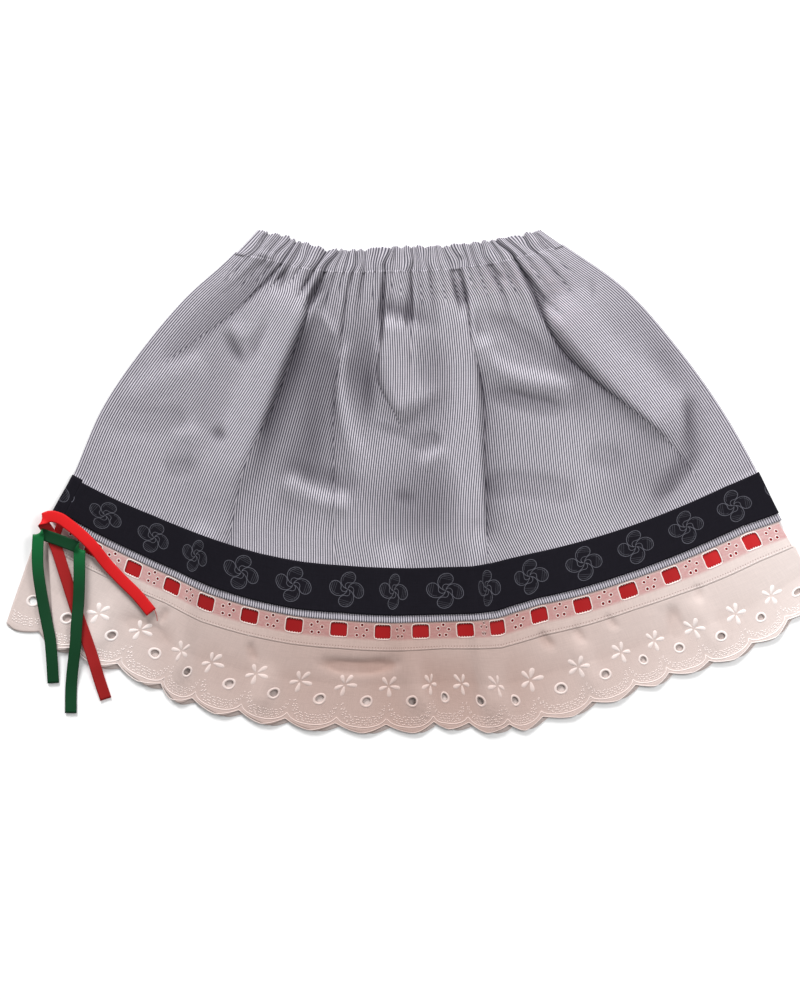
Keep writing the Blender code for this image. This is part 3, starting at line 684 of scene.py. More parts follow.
def cloth_along(down, tucked=True):
    """Places across one row, and the length of cloth from the left side fold to each."""
    across = np.linspace(-1, 1, 1201)
    length = run_length(*plan(across, down))
    for place, taken, half in TUCKS if tucked else ():
        length += taken * smooth_step((across - place) / (2 * half) + 0.5)
    return across, length


def patterned(down, places, pitch):
    """Places across one row, and lengths along its cloth, in which a pattern's repeats lie at the places."""
    across, length = cloth_along(down)
    at = np.interp(places, across, length)
    at = np.concatenate([[at[0] - 4 * pitch], at, [at[-1] + 4 * pitch]])
    return across, np.interp(length, at, pitch * np.array([-4, *range(len(places)), len(places) + 3]))


# Materials


def add_node(tree, kind, values=(), **settings):
    """Adds a shader node, sets it, and gives its sockets their values or joins them to other sockets."""
    node = tree.nodes.new(kind)
    for name, setting in settings.items():
        setattr(node, name, setting)
    for name, value in dict(values).items():
        if isinstance(value, bpy.types.NodeSocket):
            tree.links.new(value, node.inputs[name])
        else:
            node.inputs[name].default_value = value
    return node


def calculate(tree, operation, *values):
    """A Math node's result."""
    return add_node(tree, "ShaderNodeMath", dict(enumerate(values)), operation=operation).outputs[0]


def clamped(tree, value):
    """A number kept between 0 and 1."""
    return calculate(tree, "MINIMUM", calculate(tree, "MAXIMUM", value, 0.0), 1.0)


def split(tree, place):
    """The parts X, Y and Z of a place."""
    return add_node(tree, "ShaderNodeSeparateXYZ", {"Vector": place}).outputs


def noise(tree, place, stretch=(1.0, 1.0, 1.0), scale=1.0, detail=2.0):
    """A noise texture, with its own number of grains a metre for each direction."""
    place = add_node(tree, "ShaderNodeMapping", {"Vector": place, "Scale": stretch}).outputs[0]
    return add_node(tree, "ShaderNodeTexNoise", {"Vector": place, "Scale": scale, "Detail": detail}).outputs[0]


def grouped(tree, group, **values):
    """The outputs of a node group that is given these values or sockets."""
    return add_node(tree, "ShaderNodeGroup", values, node_tree=group).outputs


def blend_colours(tree, share, first, second, mode="MIX"):
    """A Mix node's colour."""
    sockets = {0: share, 6: first, 7: second}
    return add_node(tree, "ShaderNodeMix", sockets, data_type="RGBA", blend_type=mode).outputs[2]


def new_group(name, inputs, outputs):
    """A shader node group with its sockets. Returns the group and the sockets at its start and its end."""
    group = bpy.data.node_groups.new(name, "ShaderNodeTree")
    for socket, kind, default in inputs:
        made = group.interface.new_socket(socket, in_out="INPUT", socket_type=f"NodeSocket{kind}")
        if default is not None:
            made.default_value = default
    for socket, kind in outputs:
        group.interface.new_socket(socket, in_out="OUTPUT", socket_type=f"NodeSocket{kind}")
    start = group.nodes.new("NodeGroupInput")
    return group, start.outputs, group.nodes.new("NodeGroupOutput").inputs


# Grains a metre of the long and the cross threads' uneven thickness.
GRAINS = ((1600.0, 90.0, 1.0), (70.0, 1400.0, 1.0))


def make_weave_group():
    """Plain weave: threads that pass over and under one another, and their uneven thickness."""
    inputs = (("Cloth", "Vector", None), ("Thread", "Float", 0.0005), ("Slub", "Float", 0.5))
    group, start, end = new_group("plain weave", inputs, (("Height", "Float"), ("Tone", "Float")))
    calc = partial(calculate, group)
    turns = calc("DIVIDE", 2 * math.pi, start["Thread"])
    parts = split(group, start["Cloth"])
    threads = [calc("SINE", calc("MULTIPLY", parts[axis], turns)) for axis in ("X", "Y")]
    group.links.new(calc("MULTIPLY", *threads), end["Height"])
    grain = calc("SUBTRACT", calc("ADD", *(noise(group, start["Cloth"], stretch) for stretch in GRAINS)), 1.0)
    group.links.new(calc("MULTIPLY_ADD", grain, start["Slub"], 1.0), end["Tone"])
    return group


PATCHES = 0.12
PATCHES_A_METRE = 14.0


def make_painted_shade_group():
    """Painted shade: darkens and warms a colour in hollows and on steep sides, from the cloth's own hollow attribute,
    which holds how much shade is painted at each point.
    """
    inputs = (("Color", "Color", None), ("Tint", "Color", None))
    group, start, end = new_group("in the hollows", inputs, (("Color", "Color"),))
    hollow = add_node(group, "ShaderNodeAttribute", attribute_name="hollow").outputs["Fac"]
    place = add_node(group, "ShaderNodeTexCoord").outputs["Object"]
    patches = noise(group, place, scale=PATCHES_A_METRE, detail=3.0)
    share = calculate(group, "MULTIPLY_ADD", patches, PATCHES, calculate(group, "SUBTRACT", hollow, PATCHES / 2))
    dark = blend_colours(group, 1.0, start["Color"], start["Tint"], mode="MULTIPLY")
    group.links.new(blend_colours(group, clamped(group, share), start["Color"], dark), end["Color"])
    return group


WEAVE = make_weave_group()
# The node group that paints shade into the cloths' colours.
PAINTED_SHADE = make_painted_shade_group()


BUMP_HEIGHT = 0.0002


def new_material(name, roughness, gloss=0.15, sheen=0.0):
    """A material with its shader. Returns the material, its tree, its shader and its cloth coordinates."""
    material = bpy.data.materials.new(name)
    material.use_nodes = True
    shader = material.node_tree.nodes["Principled BSDF"]
    settings = {"Roughness": roughness, "Specular IOR Level": gloss, "Sheen Weight": sheen, "Sheen Roughness": 0.4}
    for socket, value in settings.items():
        shader.inputs[socket].default_value = value
    cloth = add_node(material.node_tree, "ShaderNodeUVMap", uv_map="cloth").outputs[0]
    return material, material.node_tree, shader, cloth


def finish_cloth(tree, shader, colour, height, strength, painted_shade_tint):
    """Joins a cloth's colour, with painted shade tinted in the hollows, and its bump to the shader."""
    tree.links.new(grouped(tree, PAINTED_SHADE, Color=colour, Tint=painted_shade_tint)[0], shader.inputs["Base Color"])
    bump = add_node(tree, "ShaderNodeBump", {"Height": height, "Strength": strength, "Distance": BUMP_HEIGHT})
    tree.links.new(bump.outputs[0], shader.inputs["Normal"])


def toned(tree, colour, tone):
    """A colour times a grey tone."""
    grey = add_node(tree, "ShaderNodeCombineColor", {"Red": tone, "Green": tone, "Blue": tone}).outputs[0]
    return blend_colours(tree, 1.0, colour, grey, mode="MULTIPLY")


STRIPE_PERIOD = 0.002
STRIPE_SHARPNESS = 1.4
WHITE_YARN = (0.58, 0.55, 0.60, 1)
NAVY_YARN = (0.095, 0.09, 0.115, 1)


def make_striped_cotton():
    """Yarn-dyed cotton: narrow navy and white stripes along the warp."""
    material, tree, shader, cloth = new_material("striped cotton", 0.85, sheen=0.03)
    calc = partial(calculate, tree)
    weave = grouped(tree, WEAVE, Cloth=cloth, Thread=0.0004, Slub=0.35)
    turns = calc("MULTIPLY", split(tree, cloth)["X"], 2 * math.pi / STRIPE_PERIOD)
    wave = clamped(tree, calc("MULTIPLY_ADD", calc("SINE", turns), STRIPE_SHARPNESS, 0.5))
    colour = toned(tree, blend_colours(tree, wave, NAVY_YARN, WHITE_YARN), weave["Tone"])
    finish_cloth(tree, shader, colour, weave["Height"], 0.35, painted_shade_tint=(0.27, 0.26, 0.28, 1))
    return material


TAPE_BLACK = (0.0095, 0.0085, 0.0125, 1)
MOTIF_GREY = (0.105, 0.105, 0.125, 1)
# The swirl: its turn in radians, and in millimetres its heads' reach, half the width of its lines, and its bars.
SWIRL_TURN = 0.22
SWIRL_HEAD = 14.6
SWIRL_LINE = 0.22
SMALL_LINE = 0.2
THIN_LINE = 0.17
INSET = 1.5
INSET_TONE = 0.55
BAR_STEP = 1.6
BAR = 0.34
BAR_TONE = 0.4
BARS_FROM = 1.2
SMALL_SHARE = 0.19


def make_swirl_group():
    """One four-headed swirl: a mask of thin outlines and fine hatching, from a place in it in millimetres."""
    inputs = (("X", "Float", 0.0), ("Y", "Float", 0.0))
    group, start, end = new_group("four-headed swirl", inputs, (("Mask", "Float"),))
    calc = partial(calculate, group)

    def times(*factors):
        return reduce(partial(calc, "MULTIPLY"), factors)

    def either(*masks):
        return reduce(partial(calc, "MAXIMUM"), masks)

    def distance(x, y):
        return calc("SQRT", calc("ADD", times(x, x), times(y, y)))

    def far_from(x, y):
        return distance(calc("SUBTRACT", head_x, x), calc("SUBTRACT", head_y, y))

    def line_at(far, radius, half=SWIRL_LINE):
        return calc("LESS_THAN", calc("ABSOLUTE", calc("SUBTRACT", far, radius)), half)

    # Each head is turned into the one on the right.
    reach = distance(start["X"], start["Y"])
    quarter = calc("ADD", calc("ARCTAN2", start["Y"], start["X"]), SWIRL_TURN + math.pi / 4)
    quarter = calc("SUBTRACT", calc("FLOORED_MODULO", quarter, math.pi / 2), math.pi / 4)
    head_x, head_y = times(reach, calc("COSINE", quarter)), times(reach, calc("SINE", quarter))
    left = calc("GREATER_THAN", head_y, 0.0)
    right = calc("SUBTRACT", 1.0, left)
    # A head is a comma: a wide half circle on its left, a small one let into it, and a small one round its tip.
    # The start of the next head's half circles lies in this quarter too.
    wide, small = SWIRL_HEAD / 2, SWIRL_HEAD * SMALL_SHARE
    tip = wide - small
    to_wide, to_small, to_tip = far_from(wide, 0.0), far_from(small, 0.0), far_from(wide + small, 0.0)
    outline = either(
        times(left, line_at(to_wide, wide)),
        times(right, line_at(far_from(0.0, -wide), wide)),
        times(left, line_at(to_small, small, SMALL_LINE)),
        times(right, line_at(far_from(0.0, -small), small, SMALL_LINE)),
        times(right, line_at(to_tip, tip)),
    )
    in_wide = times(left, calc("LESS_THAN", to_wide, wide), calc("GREATER_THAN", to_small, small))
    within = either(in_wide, times(right, calc("LESS_THAN", to_tip, tip)))
    # Fine bars cross the tip, and a thin line follows the wide side within.
    bars = calc("LESS_THAN", calc("FLOORED_MODULO", head_x, BAR_STEP), BAR)
    bars = times(bars, within, calc("GREATER_THAN", head_x, BARS_FROM * wide), BAR_TONE)
    inset = times(in_wide, line_at(to_wide, wide - INSET, THIN_LINE), INSET_TONE)
    group.links.new(either(bars, inset, outline), end["Mask"])
    return group


SWIRL = make_swirl_group()


def make_black_tape():
    """Black tape woven with grey outline swirls. Its cloth coordinates start in a swirl's middle."""
    material, tree, shader, cloth = new_material("black tape", 0.8, gloss=0.05)
    calc = partial(calculate, tree)
    parts = split(tree, cloth)
    along = calc("DIVIDE", parts["X"], MOTIF_PITCH * MM)
    along = calc("MULTIPLY", calc("SUBTRACT", along, calc("ROUND", along)), MOTIF_PITCH)
    swirl = grouped(tree, SWIRL, X=along, Y=calc("DIVIDE", parts["Y"], MM))[0]
    weave = grouped(tree, WEAVE, Cloth=cloth, Thread=0.0006, Slub=0.5)
    colour = toned(tree, blend_colours(tree, swirl, TAPE_BLACK, MOTIF_GREY), weave["Tone"])
    height = calc("MULTIPLY_ADD", swirl, 0.8, weave["Height"])
    finish_cloth(tree, shader, colour, height, 0.4, painted_shade_tint=(0.55, 0.55, 0.6, 1))
    return material


LACE_WHITE = (0.72, 0.63, 0.60, 1)
PAINTED_RIBBON_SHOW_THROUGH = (0.60, 0.34, 0.34, 1)
PRICK = (0.30, 0.20, 0.19, 1)
PRICK_STEP = 2.3
PRICK_RADIUS = 0.45
PRICKS_ABOVE_SEAM = 2.4
# The painted show-through of the ribbon's red reaches a little past it, fades over this width, and is blotchy.
RED_BEYOND = 1.5
RED_FADE = 2.5
BLOTCHES = (240.0, 600.0, 1.0)


def make_lace(name, over_ribbon):
    """White cotton lace cloth, with the red of a ribbon that lies behind it painted on as show-through."""
    material, tree, shader, cloth = new_material(name, 0.8, sheen=0.03)
    calc = partial(calculate, tree)
    weave = grouped(tree, WEAVE, Cloth=cloth, Thread=0.0004, Slub=0.18)
    colour = LACE_WHITE
    if over_ribbon:
        parts = split(tree, cloth)
        # Painted show-through of the red ribbon behind the lace.
        off = calc("ABSOLUTE", calc("SUBTRACT", parts["Y"], WINDOW_MIDDLE * MM))
        edge = calc("MULTIPLY_ADD", off, -1 / (RED_FADE * MM), (RIBBON_WIDTH / 2 + RED_BEYOND) / RED_FADE)
        blotches = calc("MULTIPLY_ADD", noise(tree, cloth, BLOTCHES), 0.9, 0.4)
        share = calc("MULTIPLY", clamped(tree, edge), blotches)
        colour = blend_colours(tree, share, LACE_WHITE, PAINTED_RIBBON_SHOW_THROUGH)
        # Needle pricks run along the seam to the flounce.
        along = calc("SUBTRACT", calc("FLOORED_MODULO", parts["X"], PRICK_STEP * MM), PRICK_STEP / 2 * MM)
        beside = calc("SUBTRACT", parts["Y"], (FLOUNCE_SEAM - PRICKS_ABOVE_SEAM) * MM)
        squares = [calc("MULTIPLY", off, off) for off in (along, beside)]
        prick = calc("LESS_THAN", calc("ADD", *squares), (PRICK_RADIUS * MM) ** 2)
        colour = blend_colours(tree, calc("MULTIPLY", prick, 0.7), colour, PRICK)
    colour = toned(tree, colour, weave["Tone"])
    finish_cloth(tree, shader, colour, weave["Height"], 0.25, painted_shade_tint=(0.52, 0.40, 0.36, 1))
    return material


def make_thread(name, colour, roughness):
    """Thread that is laid side by side, as in satin stitch."""
    material, tree, shader, cloth = new_material(name, roughness)
    strands = noise(tree, add_node(tree, "ShaderNodeTexCoord").outputs["Object"], scale=900.0)
    tone = calculate(tree, "MULTIPLY_ADD", strands, 0.3, 0.85)
    finish_cloth(tree, shader, toned(tree, colour, tone), strands, 0.4, painted_shade_tint=(0.54, 0.42, 0.38, 1))
    return material


SATIN_THREADS = (60.0, 5000.0, 1.0)
SELVEDGE = 0.6


def make_satin(name, face, reverse, painted_shade_tint):
    """Satin ribbon: bright on its face, duller on its reverse, with fine threads across its width."""
    material, tree, shader, cloth = new_material(name, 0.5, gloss=0.12)
    calc = partial(calculate, tree)
    fine = noise(tree, cloth, SATIN_THREADS)
    is_reverse = add_node(tree, "ShaderNodeAttribute", attribute_name="reverse").outputs["Fac"]
    selvedge = calc("GREATER_THAN", calc("ABSOLUTE", split(tree, cloth)["X"]), (TIE_WIDTH / 2 - SELVEDGE) * MM)
    tone = calc("MULTIPLY_ADD", fine, 0.5, 0.75)
    tone = calc("MULTIPLY", tone, calc("MULTIPLY_ADD", selvedge, -0.15, 1.0))
    colour = toned(tree, blend_colours(tree, is_reverse, face, reverse), tone)
    finish_cloth(tree, shader, colour, fine, 0.15, painted_shade_tint=painted_shade_tint)
    return material


striped_cotton = make_striped_cotton()
black_tape = make_black_tape()
beading_lace = make_lace("beading lace", over_ribbon=True)
flounce_cotton = make_lace("openwork cotton", over_ribbon=False)
white_thread = make_thread("white embroidery thread", (0.90, 0.835, 0.815, 1), 0.6)
waist_thread = make_thread("waist seam thread", (0.21, 0.20, 0.24, 1), 0.7)
# The last colour of each satin tints its painted shade. The red satin behind the lace is a darker copy of the red
# satin, as painted shade.
red_satin = make_satin("red satin", (0.62, 0.012, 0.014, 1), (0.33, 0.014, 0.014, 1), (0.5, 0.8, 0.8, 1))
red_satin_painted_shade = make_satin(
    "red satin behind the lace", (0.45, 0.014, 0.016, 1), (0.3, 0.01, 0.01, 1), (0.45, 0.35, 0.35, 1)
)
green_satin = make_satin("green satin", (0.006, 0.115, 0.032, 1), (0.004, 0.040, 0.014, 1), (1.0, 0.40, 0.52, 1))


# Cloth shells


def new_piece(name, points, faces, material, places=None, **attributes):
    """A mesh from points in millimetres, with cloth coordinates for its faces' corners and values for its points."""
    mesh = bpy.data.meshes.new(name)
    mesh.from_pydata((points.reshape(-1, 3) * MM).tolist(), [], faces)
    if places is not None:
        mesh.uv_layers.new(name="cloth").data.foreach_set("uv", (places * MM).reshape(-1))
    for label, values in attributes.items():
        attribute = mesh.attributes.new(label, "FLOAT", "POINT")
        attribute.data.foreach_set("value", values.reshape(-1).astype(np.float32))
    mesh.materials.append(material)
    piece = bpy.data.objects.new(name, mesh)
    bpy.context.scene.collection.objects.link(piece)
    return piece


def grid_faces(corner):
    """The four corners of each face of a grid."""
    return np.stack([corner[:-1, :-1], corner[1:, :-1], corner[1:, 1:], corner[:-1, 1:]], axis=-1)


def shell(name, points, cloth, material, thickness, slip=None, holes=None, faces_down=False, **attributes):
    """A thin cloth shell. Its outer face is a grid of points, and its thickness lies inside that.

    Where pleats swallow cloth, slip is how far each column of faces is shifted along the cloth in each row.
    """
    rows, columns = points.shape[:2]
    quads = grid_faces(np.arange(rows * columns).reshape(rows, columns))
    places = cloth.reshape(-1, 2)[quads]
    if slip is not None:
        places[..., 0] += np.stack([slip[:-1], slip[1:], slip[1:], slip[:-1]], axis=-1)
    quads, places = quads.reshape(-1, 4), places.reshape(-1, 4, 2)
    if holes is not None:
        quads, places = quads[~holes.reshape(-1)], places[~holes.reshape(-1)]
    if faces_down:
        quads, places = quads[:, ::-1], places[:, ::-1]
    piece = new_piece(name, points, quads.tolist(), material, places, **attributes)
    bpy.context.view_layer.objects.active = piece
    loose = piece.modifiers.new("thickness", "SOLIDIFY")
    loose.thickness = thickness * MM
    loose.offset = -1.0
    bpy.ops.object.modifier_apply(modifier=loose.name)
    strip_loose(piece)
    piece.data.shade_smooth()
    return piece


def strip_loose(piece):
    """Deletes points that no face uses, such as those inside a hole."""
    bm = bmesh.new()
    bm.from_mesh(piece.data)
    bmesh.ops.delete(bm, geom=[vertex for vertex in bm.verts if not vertex.link_faces], context="VERTS")
    bm.to_mesh(piece.data)
    bm.free()


SIDE_FOLD_STEPS = 5


def with_side_folds(points, cloth, bottom, left=True, right=True):
    """Adds columns that carry a front's outer face round the side folds and down to the back's outer face.

    bottom is that face's height. The columns go to the left side, the right side or both.
    """
    turns = np.linspace(0, math.pi, SIDE_FOLD_STEPS + 1)[1:]
    for side, sign, wanted in ((0, 1, left), (-1, -1, right)):
        if not wanted:
            continue
        edge = points[:, side]
        run = np.gradient(edge[:, :2], axis=0)
        run /= np.linalg.norm(run, axis=1, keepdims=True)
        outward = sign * np.stack([run[:, 1], -run[:, 0]], axis=1)
        radius = (edge[:, 2] - bottom)[:, None] / 2
        added = [np.repeat(grid[:, side, None], SIDE_FOLD_STEPS, axis=1) for grid in (points, cloth)]
        added[0][..., :2] += outward[:, None] * (radius * np.sin(turns))[..., None]
        added[0][..., 2] -= radius * (1 - np.cos(turns))
        added[1][..., 0] -= sign * radius * turns
        if side == 0:
            points, cloth = (np.concatenate([new[:, ::-1], old], axis=1) for new, old in zip(added, (points, cloth)))
        else:
            points, cloth = (np.concatenate(pair, axis=1) for pair in zip((points, cloth), added))
    return points, cloth


def past_folds(values, left=True, right=True):
    """Repeats a grid's side columns, to match the columns of the side folds."""
    return np.pad(values, ((0, 0), (SIDE_FOLD_STEPS * left, SIDE_FOLD_STEPS * right)), mode="edge")


# The folds' painted shade is weaker at the waist's seam, and the strip under the tape has the tape's shadow painted
# on it.
SEAM_SHADE = 0.45
SEAM_SHADE_RUN = 18
TAPE_SHADE = 0.2
PLEAT_PLACES = np.array([pleat[3][0] for pleat in PLEATS] + [trough[0] for trough in TROUGHS])


def panel_columns(count):
    """Columns for a panel, counted at the waist, with three at each pleat and trough."""
    near = [PLEAT_PLACES - PLEAT_HALF, PLEAT_PLACES, PLEAT_PLACES + PLEAT_HALF]
    return np.unique(np.round(np.concatenate([np.linspace(-1, 1, count), *near]), 6))


def panel_cloth(columns, across, down):
    """Cloth coordinates of a panel, and how much cloth lies swallowed to the left of each column of faces."""
    spare, shares = swallowed(down)
    u = run_length(*plan(across, down[:, None])) + EVEN_SHARE * spare * (across + 1) / 2
    passed = (columns[:-1, None] >= PLEAT_PLACES[None, :] - 1e-5).astype(float)
    slip = (1 - EVEN_SHARE) * spare * (shares @ passed.T)
    return stacked(u, down[:, None]), slip


def pleat_creases(columns, down):
    """How sharply each pleat and trough creases the cloth, from 0 to 1."""
    crease = np.zeros((len(down), len(columns)))
    for k, place in enumerate(PLEAT_PLACES):
        main = k < len(PLEATS)
        run = PLEATS[k][2] - CASING_SEAM if main else TROUGHS[k - len(PLEATS)][2]
        near = np.exp(-(((columns - place) / CREASE_WIDTH) ** 2))
        left = np.clip(1 - (down - CASING_SEAM) / run, 0, 1) ** 0.5
        sharp = min(1.0, SOFT_CREASE + 3 * PLEATS[k][1]) if main else TROUGH_CREASE
        crease = np.maximum(crease, sharp * left[:, None] * near[None, :])
    return crease


def panel_grid(count, first, step):
    """Rows and places across of a panel's grid, with its cloth coordinates, its slip and its creases."""
    columns = panel_columns(count)
    down = np.concatenate([[CASING_SEAM - 1.0], np.arange(CASING_SEAM + first, HEM_EDGE - 1, step), [HEM_EDGE]])
    across = leaned(columns, down)
    return down, across, *panel_cloth(columns, across, down), pleat_creases(columns, down)


def build_panels():
    """The striped front and back panels."""
    down, across, cloth, slip, crease = panel_grid(215, 1.0, 2.4)
    front = front_points(across, down[:, None])
    front[..., 2] -= PLEAT_DEPTH * crease * off_sides(across)
    # Painted shade: the folds' shade map and the pleats' creases darken the cloth's colour.
    hollow = read_map(SHADE_MAP, across, down[:, None]) + CREASE_SHADE * crease
    hollow *= (SEAM_SHADE + (1 - SEAM_SHADE) * smooth_step((down - CASING_SEAM) / SEAM_SHADE_RUN))[:, None]
    hollow += TAPE_SHADE * (down > BAND_BOTTOM - 2.0)[:, None]
    hollow = past_folds(np.clip(hollow, 0, 1))
    front, cloth = with_side_folds(front, cloth, back_under(np.ones(len(down)), down))
    front_cloth = shell("front_cloth", front, cloth, striped_cotton, COTTON, past_folds(slip), hollow=hollow)

    down, across, cloth, slip, crease = panel_grid(101, 2.0, 4.0)
    back = back_points(across, down[:, None])
    # Painted shade in the back's pleat creases.
    hollow = CREASE_SHADE * crease
    back_cloth = shell("back_cloth", back, cloth, striped_cotton, COTTON, slip, faces_down=True, hollow=hollow)
    return front_cloth, back_cloth


TAPE_ABOVE = TAPE + 0.15


def band_cloth(across, down, start):
    """Cloth coordinates of the tape, which start in the middle of its first swirl."""
    scale, length = patterned(BAND_MIDDLE, MOTIF_PLACES, MOTIF_PITCH)
    u = np.interp(across, scale, length) - np.interp(start, scale, length)
    return stacked(u, BAND_MIDDLE - down)


def build_bands():
    """The tape round the skirt: its front length, its back length and its end, lapped at the left side."""
    across = np.linspace(BAND_LAP, 1, 420)[None, :]
    down = np.linspace(BAND_TOP, BAND_BOTTOM, 28)[:, None]
    front = front_points(across, down, TAPE_ABOVE)
    front, cloth = with_side_folds(front, band_cloth(across, down, MOTIF_PLACES[0]), 0.0, left=False)
    # The folds' painted shade on the tape.
    hollow = past_folds(read_map(SHADE_MAP, across, down), left=False)
    band_front = shell("tape_front", front, cloth, black_tape, TAPE, hollow=hollow)

    across = np.linspace(-1, BAND_LAP, 12)[None, :]
    end = front_points(across, np.linspace(*BAND_END_ROWS, 28)[:, None], TAPE_ABOVE)
    end, cloth = with_side_folds(end, band_cloth(across, down, -1.0) + (END_MOTIF_SHIFT, 0), 0.0, right=False)
    band_end = shell("tape_end", end, cloth, black_tape, TAPE)

    across = np.linspace(-1, 1, 200)[None, :]
    down = np.linspace(BAND_TOP, BAND_BOTTOM, 10)[:, None]
    cloth = band_cloth(across, down, MOTIF_PLACES[0])
    band_back = shell("tape_back", raised(across, down, 0.0), cloth, black_tape, TAPE, faces_down=True)
    return band_front, band_end, band_back


def beading_row():
    """Places across and lengths along the beading's row, in which the first window lies at 0."""
    return patterned(WINDOW_MIDDLE, WINDOW_PLACES, LACE_PITCH)


FLOWER_HOLES = 5
FLOWER_REACH = 4.6
FIRST_HOLE = math.radians(84)


def beading_holes():
    """The places, along the cloth and down it, of the pinholes in the beading's flowers."""
    turns = FIRST_HOLE + 2 * math.pi * np.arange(FLOWER_HOLES) / FLOWER_HOLES
    return [
        (LACE_PITCH * (k + 0.5) + FLOWER_REACH * math.cos(turn), WINDOW_MIDDLE - FLOWER_REACH * math.sin(turn))
        for k in range(-1, len(WINDOW_PLACES))
        for turn in turns
    ]


def build_beading(side):
    """The beading lace of one side, cut through at its windows and its flowers' pinholes."""
    across = np.linspace(*BEADING_SIDES, 721)
    down = np.arange(HEM_EDGE - TUCKED_UNDER, FLOUNCE_SEAM + 0.5, 0.95)
    u = np.interp(across, *beading_row())
    centre_u, centre_down = (u[1:] + u[:-1]) / 2, (down[1:] + down[:-1]) / 2
    from_window = np.abs((centre_u + LACE_PITCH / 2) % LACE_PITCH - LACE_PITCH / 2)
    from_window = np.where(centre_u > LACE_PITCH * (len(WINDOW_PLACES) - 0.5), LACE_PITCH, from_window)
    in_height = (centre_down > WINDOW_TOP) & (centre_down < WINDOW_BOTTOM)
    holes = in_height[:, None] & (from_window < WINDOW_WIDTH / 2)[None, :]
    rims = []
    for hole_u, hole_down in beading_holes():
        column = int(np.argmin(np.abs(u - hole_u)))
        row = int(np.argmin(np.abs(down - hole_down)))
        if 2 < column < len(u) - 3:
            holes[row - 1 : row + 1, column - 1 : column + 1] = True
            rims.append((u[column], down[row]))
    cloth = stacked(u[None, :], down[:, None])
    across, down = np.broadcast_arrays(across[None, :], down[:, None])
    points = beading_face(side, across, down)
    # Painted shade of the trim, with the folds' painted shade on the front.
    hollow = trim_painted_shade_with_folds(side, points, across, down)
    name, faces_down = f"beading_{side}_lace", side == "back"
    return shell(name, points, cloth, beading_lace, LACE, None, holes, faces_down, hollow=hollow), rims


RIBBON_SWELL = 0.3


def build_beading_ribbon(side):
    """The satin ribbon behind the beading, which swells a little in the front's windows."""
    across = np.linspace(*BEADING_SIDES, 361)
    down = WINDOW_MIDDLE + np.linspace(-RIBBON_HALF, RIBBON_HALF, 9)[:, None]
    u = np.interp(across, *beading_row())
    off = (u / LACE_PITCH) - np.round(u / LACE_PITCH)
    cloth = stacked(down - WINDOW_MIDDLE, u[None, :])
    if side == "front":
        points = front_points(across[None, :], down, -1.5)
        points[..., 2] += RIBBON_SWELL * np.exp(-((off * LACE_PITCH / 5.0) ** 2))
    else:
        points = beading_face(side, across[None, :], down, -LACE - 0.15)
    # Painted shade along the ribbon behind the lace.
    hollow = from_table(points[..., 0], RIBBON_SHADE, 1)
    name, faces_down = f"beading_{side}_ribbon", side == "back"
    return shell(name, points, cloth, red_satin_painted_shade, SATIN, faces_down=faces_down, hollow=hollow)


def scallop(turns):
    """How far the edge hangs below the cusps, where whole turns are the eyelets' middles."""
    off = np.abs(turns - np.round(turns))
    return SCALLOP_DEPTH * (1 - (2 * off) ** 1.5)


def inner_arc(turns):
    """How far the border's inner cord hangs below the cusps. It lies the border's width above the edge."""
    off = turns - np.round(turns)
    return BORDER_ARC * np.sqrt(1 - (2 * off) ** 2) - BORDER_WIDTH


def eyelet_row():
    """Places across and lengths along the eyelets' row, in which the first eyelet lies at 0."""
    places = np.sort(np.concatenate([EYELET_PLACES, FLOWER_PLACES]))
    places = np.concatenate([[2 * places[0] - places[1]], places, [2 * places[-1] - places[-2]]])
    return places, LACE_PITCH / 2 * (np.arange(len(places)) - 3)


def leaning(across, down):
    """How far the pattern's lines, which stand square to the curved rows, have moved across at a length down."""
    return PATTERN_LEAN * np.clip(4 * across, -1, 1) * (down - EYELET_LINE)


def pattern_along(side, across, down):
    """Length along the cloth in the flounce's pattern, from a place on the skirt."""
    places, lengths = eyelet_row()
    return np.interp(across - leaning(across, down), places, lengths) - (BACK_SHIFT if side == "back" else 0)


def pattern_across(side, along, down):
    """The other way round: the place across at a length along the pattern."""
    places, lengths = eyelet_row()
    across = np.interp(along + (BACK_SHIFT if side == "back" else 0), lengths, places)
    return np.clip(across + leaning(across, down), *PATTERN_SIDES)


def border_share(turns, down):
    """1 on the flounce's raised border and 0 above its inner cord."""
    return smooth_step((down - CUSP_LINE - inner_arc(turns)) / BORDER_SLOPE + 0.5)


def flounce_left(left, down):
    """Place across of a flounce's left edge, which is given at its seam and at its cusps."""
    return left[0] + (left[1] - left[0]) * np.clip((down - FLOUNCE_SEAM) / (CUSP_LINE - FLOUNCE_SEAM), -1, 1.2)


def pattern_ends(side, left, down):
    """Lengths along the pattern at the two sides of a flounce."""
    return pattern_along(side, flounce_left(left, down), down), pattern_along(side, 1.0, down)


def flounce_eyelets(side, left):
    """The eyelets that lie on a flounce with this left side, along the cloth and down it."""
    first, last = pattern_ends(side, left, EYELET_LINE)
    first, last = first + EYELET_MARGIN, last - EYELET_MARGIN
    return [(LACE_PITCH * k, EYELET_LINE) for k in EYELETS if first < LACE_PITCH * k < last]


